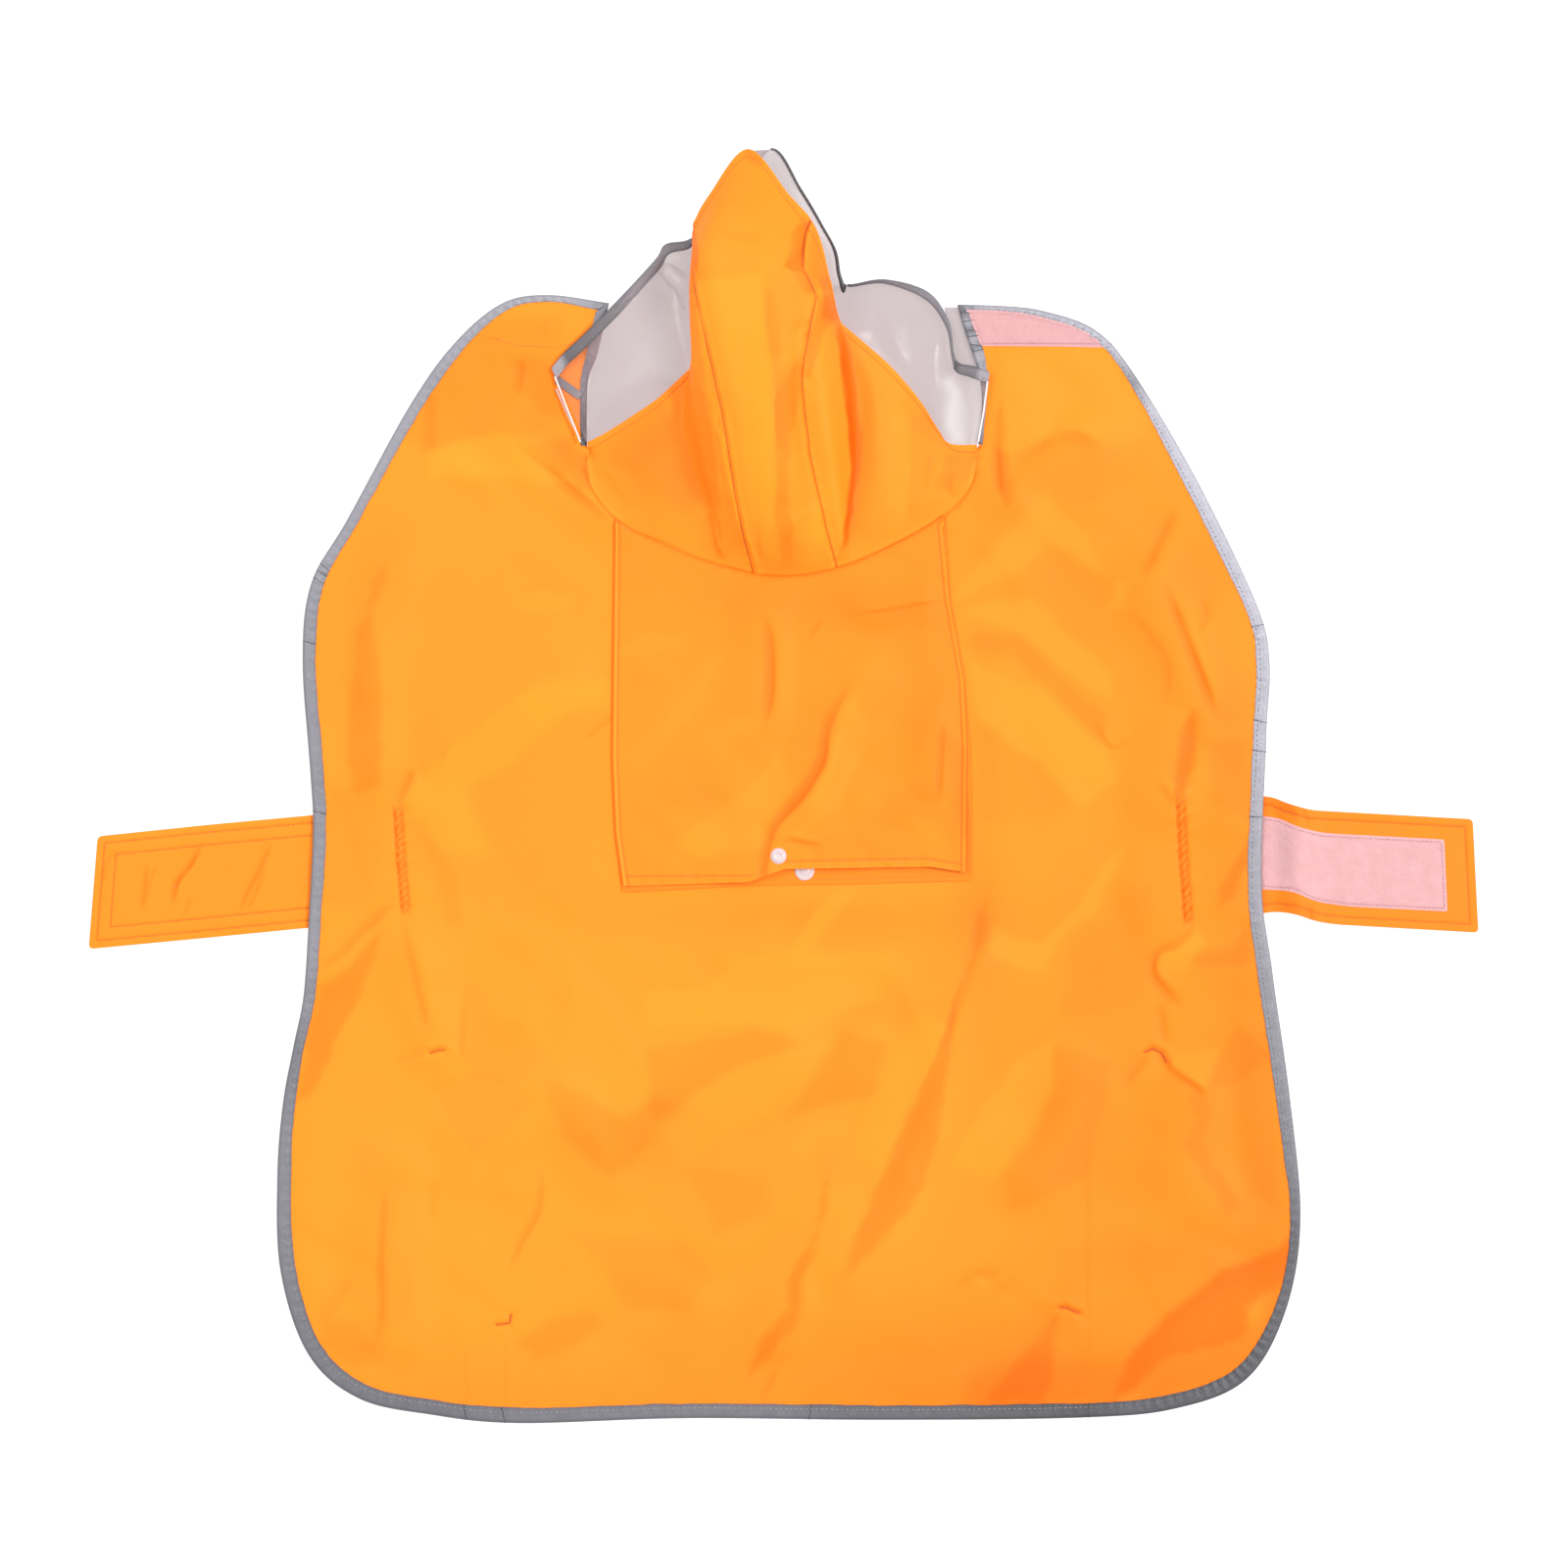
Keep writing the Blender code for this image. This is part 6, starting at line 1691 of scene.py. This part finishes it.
def film_roll(line, lift, radius):
    """The film turned under at an end of the brim: a round fold along its edge, denser and paler, with a
    painted highlight.
    """
    line = points_at(line, np.linspace(0, 1, 40))
    along = np.gradient(line, axis=0)
    along /= np.linalg.norm(along, axis=1)[:, None]
    across = np.cross(along, (0, 0, 1))
    across /= np.linalg.norm(across, axis=1)[:, None]
    rings = []
    for k in range(ROLL_SIDES):
        angle = 2 * math.pi * k / ROLL_SIDES
        rings.append(line + across * radius * math.cos(angle)
                     + np.array((0, 0, 1)) * (radius * math.sin(angle) + 0.3))
    return tube("film_roll", np.stack(rings, axis=1), np.full(len(line), 1 + lift))


def film_tongue():
    """The strip of film that shows beyond the brim's right tape."""
    down = np.linspace(0, 1, 16)[None, :, None]
    left = np.array((98.2, 291.8, 1.0)) * (1 - down) + np.array((103.5, 256.0, 1.2)) * down
    right = np.array((106.4, 291.8, 0.7)) * (1 - down) + np.array((119.0, 255.0, 0.7)) * down
    across = np.linspace(0, 1, 8)[:, None, None]
    grid = left * (1 - across) + right * across
    grid[..., 2] += 0.25 * waves(grid[..., :2].reshape(-1, 2), 7, 77).reshape(grid.shape[:2])
    up = np.array((0, 0, FILM_HALF))
    return wall_between("film_tongue", grid + up, grid - up, np.full(grid.shape[:2], 1.03))


def folded_tab():
    """The left tape's end, folded under the film, with painted light that grows towards its end."""
    line = np.linspace((-138.6, 247.0, 0), (-124.3, 236.8, 0), 14)
    line[:, 2] = np.maximum(panel_top(line[:, :2]) + 0.9, 4.4)
    side = np.array((0.562, 0.827, 0.0))
    rings = []
    for across, up in [(-2.5, 0.0), (-2.3, 0.4), (0, 0.5), (2.3, 0.4), (2.5, 0.0), (2.3, -0.4), (0, -0.5),
                       (-2.3, -0.4)]:
        rings.append(line + side * across + np.array((0, 0, up)))
    return tube("folded_tab", np.stack(rings, axis=1), np.linspace(1.3, 2.2, 14))


def join(piece, others):
    """Adds the meshes of other pieces to a piece."""
    with bpy.context.temp_override(active_object=piece, object=piece,
                                   selected_editable_objects=[piece] + others,
                                   selected_objects=[piece] + others):
        bpy.ops.object.join()


# ---------------------------------------------------------------- pouch, straps, patches, snaps

def smooth_loop(points, step=2.5):
    """A closed outline as many points, its corners kept."""
    return [tuple(p) for p in straight(closed(points), step)[:-1]]


def neck_between(low, high):
    line = points_at(neck_curve, np.linspace(0, 1, 140))
    return [tuple(p) for p in line if low < p[0] < high]


def add_body():
    ring = inner_points(0, LAST_STATION, TUCKED)[::2]
    neck = points_at(neck_curve, np.linspace(0.0, 1.0, 150))[:, :2]
    from_ends = np.minimum(*[np.linalg.norm(neck - neck[end], axis=1) for end in (0, -1)])
    neck = neck + left_normals(neck) * (1.5 * ramp(from_ends, 6, 16) * (from_ends > 1))[:, None]
    outline = np.vstack([ring, neck[::-1]])
    outline = outline[np.append(np.linalg.norm(np.diff(outline, axis=0), axis=1) > 0.3, True)]
    outline = [tuple(p) for p in outline]
    sharp = [spline(fold.path, 3) for fold in PANEL_FOLDS if fold.width <= 6]
    plan = triangulate(outline, [], 4.2, STRAP_SEAMS + TACKS + sharp)
    panel = lay_cloth("coat_body", plan, panel_top, panel_tone)
    dress(panel, CLOTH_FINISH, "coat_cloth", "body_panel")
    seam = neck_between(*POUCH_SEAM_X)[::-1]
    back = smooth_loop(seam + POUCH_BACK)
    front = smooth_loop(seam + POUCH_FRONT)
    fine = [POUCH_LEFT_SIDE, POUCH_RIGHT_SIDE, HEM_LINE]
    # The back layer's tone: the pouch's facets of painted shade and light, and painted shade all over, as it
    # lies under the front layer.
    back_piece = lay_cloth("pouch_back_layer", triangulate(back, [], 4.0), back_top,
                           lambda xy: patch_tone(xy, POUCH_PATCHES) - 0.10)
    dress(back_piece, CLOTH_FINISH, "coat_cloth", "pouch_back")
    fine += [spline(fold.path, 3) for fold in POUCH_FOLDS if fold.width <= 6]
    front_piece = lay_cloth("pouch_front_layer", triangulate(front, [], 2.9, fine), front_top,
                            pouch_tone)
    dress(front_piece, CLOTH_FINISH, "coat_cloth", "pouch_front")
    add_pouch_stitches()


def add_pouch_stitches():
    rows = [on_cloth(beside(POUCH_LEFT_SIDE, 2.9), front_top),
            on_cloth(beside(POUCH_RIGHT_SIDE, -2.9), front_top)]
    rows += [on_cloth(straight(hem, 2), front_top) for hem in (LEFT_HEM, RIGHT_HEM)]
    rows.append(on_cloth(straight([(20, -58.5), (108, -56.4)], 2), back_top))
    sew("stitches_pouch", rows, ORANGE_THREAD, "coat_cloth", pitch=2.8, length=1.9, width=0.4)


def strap_left_top(xy):
    lift = (HOOK_WALL + GAP) * ramp(away_from(xy, STRAP_LEFT_HOOK), 0, 18)
    drawn = fold_depth(xy, STRAP_FOLDS, 800) + 0.45 * rumple(xy, 42, 81)
    edge = near(xy, closed(STRAP_LEFT))[0]
    rows = -0.35 * bell(edge, 4.5, 0.8) - 0.35 * bell(edge, 12, 0.8)
    return lift + WALL + drawn * (1 - ramp(edge, 0, 9)) + rows + 0.2 * ramp(edge, 3.4, 4.6)


def strap_right_top(xy):
    drawn = 0.35 * rumple(xy, 38, 82) + fold_depth(xy, STRAP_FOLDS, 800)
    edge = near(xy, closed(STRAP_RIGHT))[0]
    return (ridge_height(xy, STRAP_RIDGES) + WALL + drawn * (1 - ramp(edge, 0, 9))
            - 0.3 * bell(edge, 5.0, 0.8) + 0.25 * ramp(edge, 3.8, 4.8))


def loop_top(xy):
    edge = near(xy, closed(STRAP_RIGHT_LOOP))[0]
    pile = 0.9 * (1 - 0.7 * ramp(edge, 0, 1.6)) - 0.35 * stitched(edge)
    return strap_right_top(xy) + pile + tufts(xy, 83)


def stitched(edge):
    return bell(edge, LOOP_ROW, 0.7)


def tufts(xy, seed):
    return 0.14 * waves(xy, 1.3, seed) + 0.10 * waves(xy, 3.1, seed + 1)


def flap_patch():
    """The loop patch on the right flap: from its tapes down to a level edge."""
    ring = inner_points(0, LAST_STATION, edge_rows[:, 2] - 0.8)
    return [tuple(p) for p in ring if p[0] > 0 and p[1] > FLAP_PATCH_Y]


def flap_loop_top(xy):
    edge = np.abs(xy[:, 1] - FLAP_PATCH_Y)
    pile = 0.75 * (1 - 0.7 * ramp(edge, 0, 1.6)) - 0.3 * stitched(edge)
    return panel_top(xy) + pile + tufts(xy, 85)


def add_straps():
    for name, outline, top, rows, base in (
            ("strap_left", STRAP_LEFT, strap_left_top, LEFT_STRAP_ROWS, -0.03),
            ("strap_right", STRAP_RIGHT, strap_right_top, RIGHT_STRAP_ROWS, -0.10)):
        lines = [inset_loop(outline, row, 1.3) for row in rows]
        plan = triangulate(smooth_loop(softened(outline), 1.8), lines, 1.5)
        strap = lay_cloth(name + "_cloth", plan, top, lambda xy: strap_tone(xy, outline, rows, base),
                          STRAP_WALL)
        dress(strap, CLOTH_FINISH, "coat_cloth", name)
    patches = [
        ("hook_patch_strap", STRAP_LEFT_HOOK, lambda xy: np.full(len(xy), 1.1), HOOK_FINISH,
         "hook_patch", "strap_left_hook", 4.0),
        ("hook_patch_flap", FLAP_HOOK_LEFT, lambda xy: np.full(len(xy), 1.1), HOOK_FINISH,
         "hook_patch", "flap_left_hook", 4.0),
        ("loop_patch_strap", STRAP_RIGHT_LOOP, loop_top, LOOP_FINISH,
         "loop_patch", "strap_right_loop", 1.3),
        ("loop_patch_flap", flap_patch(), flap_loop_top, LOOP_FINISH,
         "loop_patch", "flap_right_loop", 1.3)]
    for name, outline, top, finish, slot, node, spacing in patches:
        plan = triangulate(smooth_loop(softened(outline, 0.8), 1.2), [], spacing)
        # The loop patches' base: painted shade, deeper on the flap's patch.
        shaded = -0.12 if name == "loop_patch_flap" else -0.06
        piece = lay_cloth(name, plan, top, lambda xy: loop_tone(xy, outline, shaded), PATCH_WALL)
        dress(piece, finish, slot, node)
    add_strap_stitches()


def strap_tone(xy, outline, rows, base):
    # The strap's tone: a base of painted shade, painted shade in its creases and where it curves, and dark
    # lines at its rows of stitches.
    edge = near(xy, closed(outline))[0]
    creases = np.clip(fold_depth(xy, STRAP_FOLDS, 800), -1.5, 1)
    tone = base + 0.02 * creases + 0.09 * crease_tone(xy, STRAP_FOLDS, 800) + shade_at(xy, STRAP_SHADES)
    return tone - sum(0.12 * bell(edge, row, 0.5) for row in rows)


def loop_tone(xy, outline, base):
    """Pile is paler at its very edge, and pressed dark under its row of stitches."""
    edge = near(xy, closed(outline))[0]
    # A darker band across the strap's loop patch.
    darker_band = shade_at(xy, [Shade(306, -42, 7, 18, 0, -0.07)])
    return base + darker_band + 0.08 * ramp(edge, 0.3, 1.2) - 0.12 * bell(edge, LOOP_ROW, 0.6)


def softened(outline, sharp=2.8, slack=9.0):
    """An outline with its corners rounded: tight at the square ones, wide at the slight bends."""
    points = xy_of(outline)
    loop = []
    for before, corner, after in zip(np.roll(points, 1, axis=0), points, np.roll(points, -1, axis=0)):
        back, on = before - corner, after - corner
        reach = 0.45 * min(np.hypot(*back), np.hypot(*on))
        back, on = back / np.hypot(*back), on / np.hypot(*on)
        reach = min(reach, slack if back.dot(on) < -0.7 else sharp)
        for t in np.linspace(0, 1, 7):
            loop.append(corner + reach * ((1 - t) ** 2 * back + t ** 2 * on))
    return loop


def inset_loop(outline, inset, step=2.0):
    """A closed row at an even distance inside an outline."""
    points = xy_of(outline)
    area = sum(a[0] * b[1] - b[0] * a[1] for a, b in zip(points, np.roll(points, -1, axis=0)))
    turn = 1 if area > 0 else -1
    loop = []
    count = len(points)
    for i in range(count):
        before = points[i] - points[i - 1]
        after = points[(i + 1) % count] - points[i]
        sides = [np.array([-v[1], v[0]]) * turn / np.hypot(*v) for v in (before, after)]
        middle = (sides[0] + sides[1]) / np.linalg.norm(sides[0] + sides[1])
        loop.append(points[i] + middle / max(middle.dot(sides[0]), 0.4) * inset)
    return straight(closed([tuple(p) for p in loop]), step)


def add_strap_stitches():
    orange = [on_cloth(inset_loop(STRAP_LEFT, row), strap_left_top) for row in LEFT_STRAP_ROWS]
    orange += [on_cloth(inset_loop(STRAP_RIGHT, row), strap_right_top) for row in RIGHT_STRAP_ROWS]
    hook_row = straight([(-184, 274), (-163, 268), (-140, 267), (-119, 271)], 2)
    orange.append(on_cloth(hook_row, panel_top))
    sew("stitches_straps", orange, BROWN_THREAD, "coat_cloth", pitch=3.0, length=2.1, width=0.35)
    level = straight([(120, FLAP_PATCH_Y + 2.2), (203, FLAP_PATCH_Y + 2.2)], 2)
    pink = [on_cloth(inset_loop(STRAP_RIGHT_LOOP, LOOP_ROW), loop_top, 0.15),
            on_cloth(level, flap_loop_top, 0.15)]
    sew("stitches_pink", pink, PINK_THREAD, "loop_patch", pitch=2.6, length=2.2, width=0.45)


def add_seams():
    """Stitches of the strap seams, and the small tacks."""
    rows = []
    for seam in STRAP_SEAMS:
        for offset in (-STRAP_SEAM_HALF, STRAP_SEAM_HALF):
            rows.append(on_cloth(beside(seam, offset), panel_top))
    sew("stitches_strap_seams", rows, ORANGE_THREAD, "coat_cloth", pitch=2.6, length=1.7, width=0.3,
        height=0.3)
    tacks = [on_cloth(straight(xy_of(tack), 0.6), panel_top, 0.35) for tack in TACKS]
    sew("tacks", tacks, DEEP_THREAD, "coat_cloth", pitch=0.9, length=1.5, width=0.45, height=0.6)


# Half of each snap's outline, in shares of its radius and its height.
CAP_PROFILE = [(1.0, 0.0), (1.0, 0.28), (0.97, 0.42), (0.9, 0.55), (0.82, 0.66), (0.74, 0.80),
               (0.66, 0.92), (0.58, 1.0), (0.48, 0.98), (0.40, 0.86), (0.34, 0.74), (0.2, 0.70)]
BASE_PROFILE = [(1.0, 0.0), (1.0, 0.3), (0.95, 0.5), (0.86, 0.62), (0.6, 0.66), (0.42, 0.7),
                (0.36, 0.95), (0.3, 1.0), (0.12, 1.0)]
SNAP_SIDES = 48


def snap(name, centre, radius, height, seat, node, profile):
    """A turned plastic snap: a flange, a rounded rim, and a dished or raised middle."""
    angle = 2 * np.pi * np.arange(SNAP_SIDES) / SNAP_SIDES
    rings = [np.column_stack([centre[0] + radius * r * np.cos(angle),
                              centre[1] + radius * r * np.sin(angle),
                              np.full(SNAP_SIDES, seat + height * h)]) for r, h in profile]
    piece = tube(name, np.stack(rings), np.ones(len(profile)))
    dress(piece, SNAP_FINISH, "snap", node)


def add_snaps():
    cap_seat = float(front_top(np.array([SNAP_CAP]))[0]) - 0.2
    base_seat = float(back_top(np.array([SNAP_BASE]))[0]) - 0.1
    snap("snap_cap_moulded", SNAP_CAP, 5.0, 2.1, cap_seat, "snap_cap", CAP_PROFILE)
    snap("snap_base_moulded", SNAP_BASE, 6.0, 1.4, base_seat, "snap_base", BASE_PROFILE)


# ---------------------------------------------------------------- table, lights and camera

def add_floor():
    side = 4.0
    mesh = bpy.data.meshes.new("floor")
    mesh.from_pydata([(-side, -side, -0.0004), (side, -side, -0.0004), (side, side, -0.0004),
                      (-side, side, -0.0004)], [], [(0, 1, 2, 3)])
    floor = bpy.data.objects.new("floor", mesh)
    bpy.context.collection.objects.link(floor)
    table = Finish("white table", (0.3, 0.3, 0.3), 0.95, Emission_Strength=0.8, Specular_IOR_Level=0.1)
    table.set("Emission Color", (1, 1, 1, 1))
    mesh.materials.append(table.material)


def add_light(name, spot, size, power, colour=(1, 1, 1)):
    lamp = bpy.data.lights.new(name, "AREA")
    lamp.shape = "RECTANGLE"
    lamp.size, lamp.size_y = size
    lamp.energy = power
    lamp.color = colour
    light = bpy.data.objects.new(name, lamp)
    light.location = spot
    light.rotation_euler = (-Vector(spot)).to_track_quat("-Z", "Y").to_euler()
    bpy.context.collection.objects.link(light)


def add_camera():
    eye = bpy.data.cameras.new("camera")
    eye.lens = 85
    eye.sensor_width = 36
    camera = bpy.data.objects.new("camera", eye)
    camera.location = (-CENTRE[0] * MM, -CENTRE[1] * MM, CAMERA_HEIGHT * MM)
    bpy.context.collection.objects.link(camera)
    bpy.context.scene.camera = camera


def set_up_room():
    add_floor()
    add_light("key", (3.3, 0.6, 4.4), (1.5, 1.4), 240)
    add_light("fill", (-1.9, 1.4, 2.8), (1.6, 1.6), 52)
    world_light = bpy.data.worlds.new("room")
    world_light.use_nodes = True
    background = world_light.node_tree.nodes["Background"]
    background.inputs["Color"].default_value = (1, 1, 1, 1)
    background.inputs["Strength"].default_value = 0.85
    scene = bpy.context.scene
    scene.world = world_light
    scene.view_settings.view_transform = "Standard"
    scene.view_settings.look = "None"
    add_camera()


set_up_room()
add_body()
add_binding()
add_straps()
add_seams()
hood, hood_normals, hood_tones = hood_shape()
add_hood(hood, hood_normals, hood_tones)
add_brim(hood, hood_normals)
add_snaps()
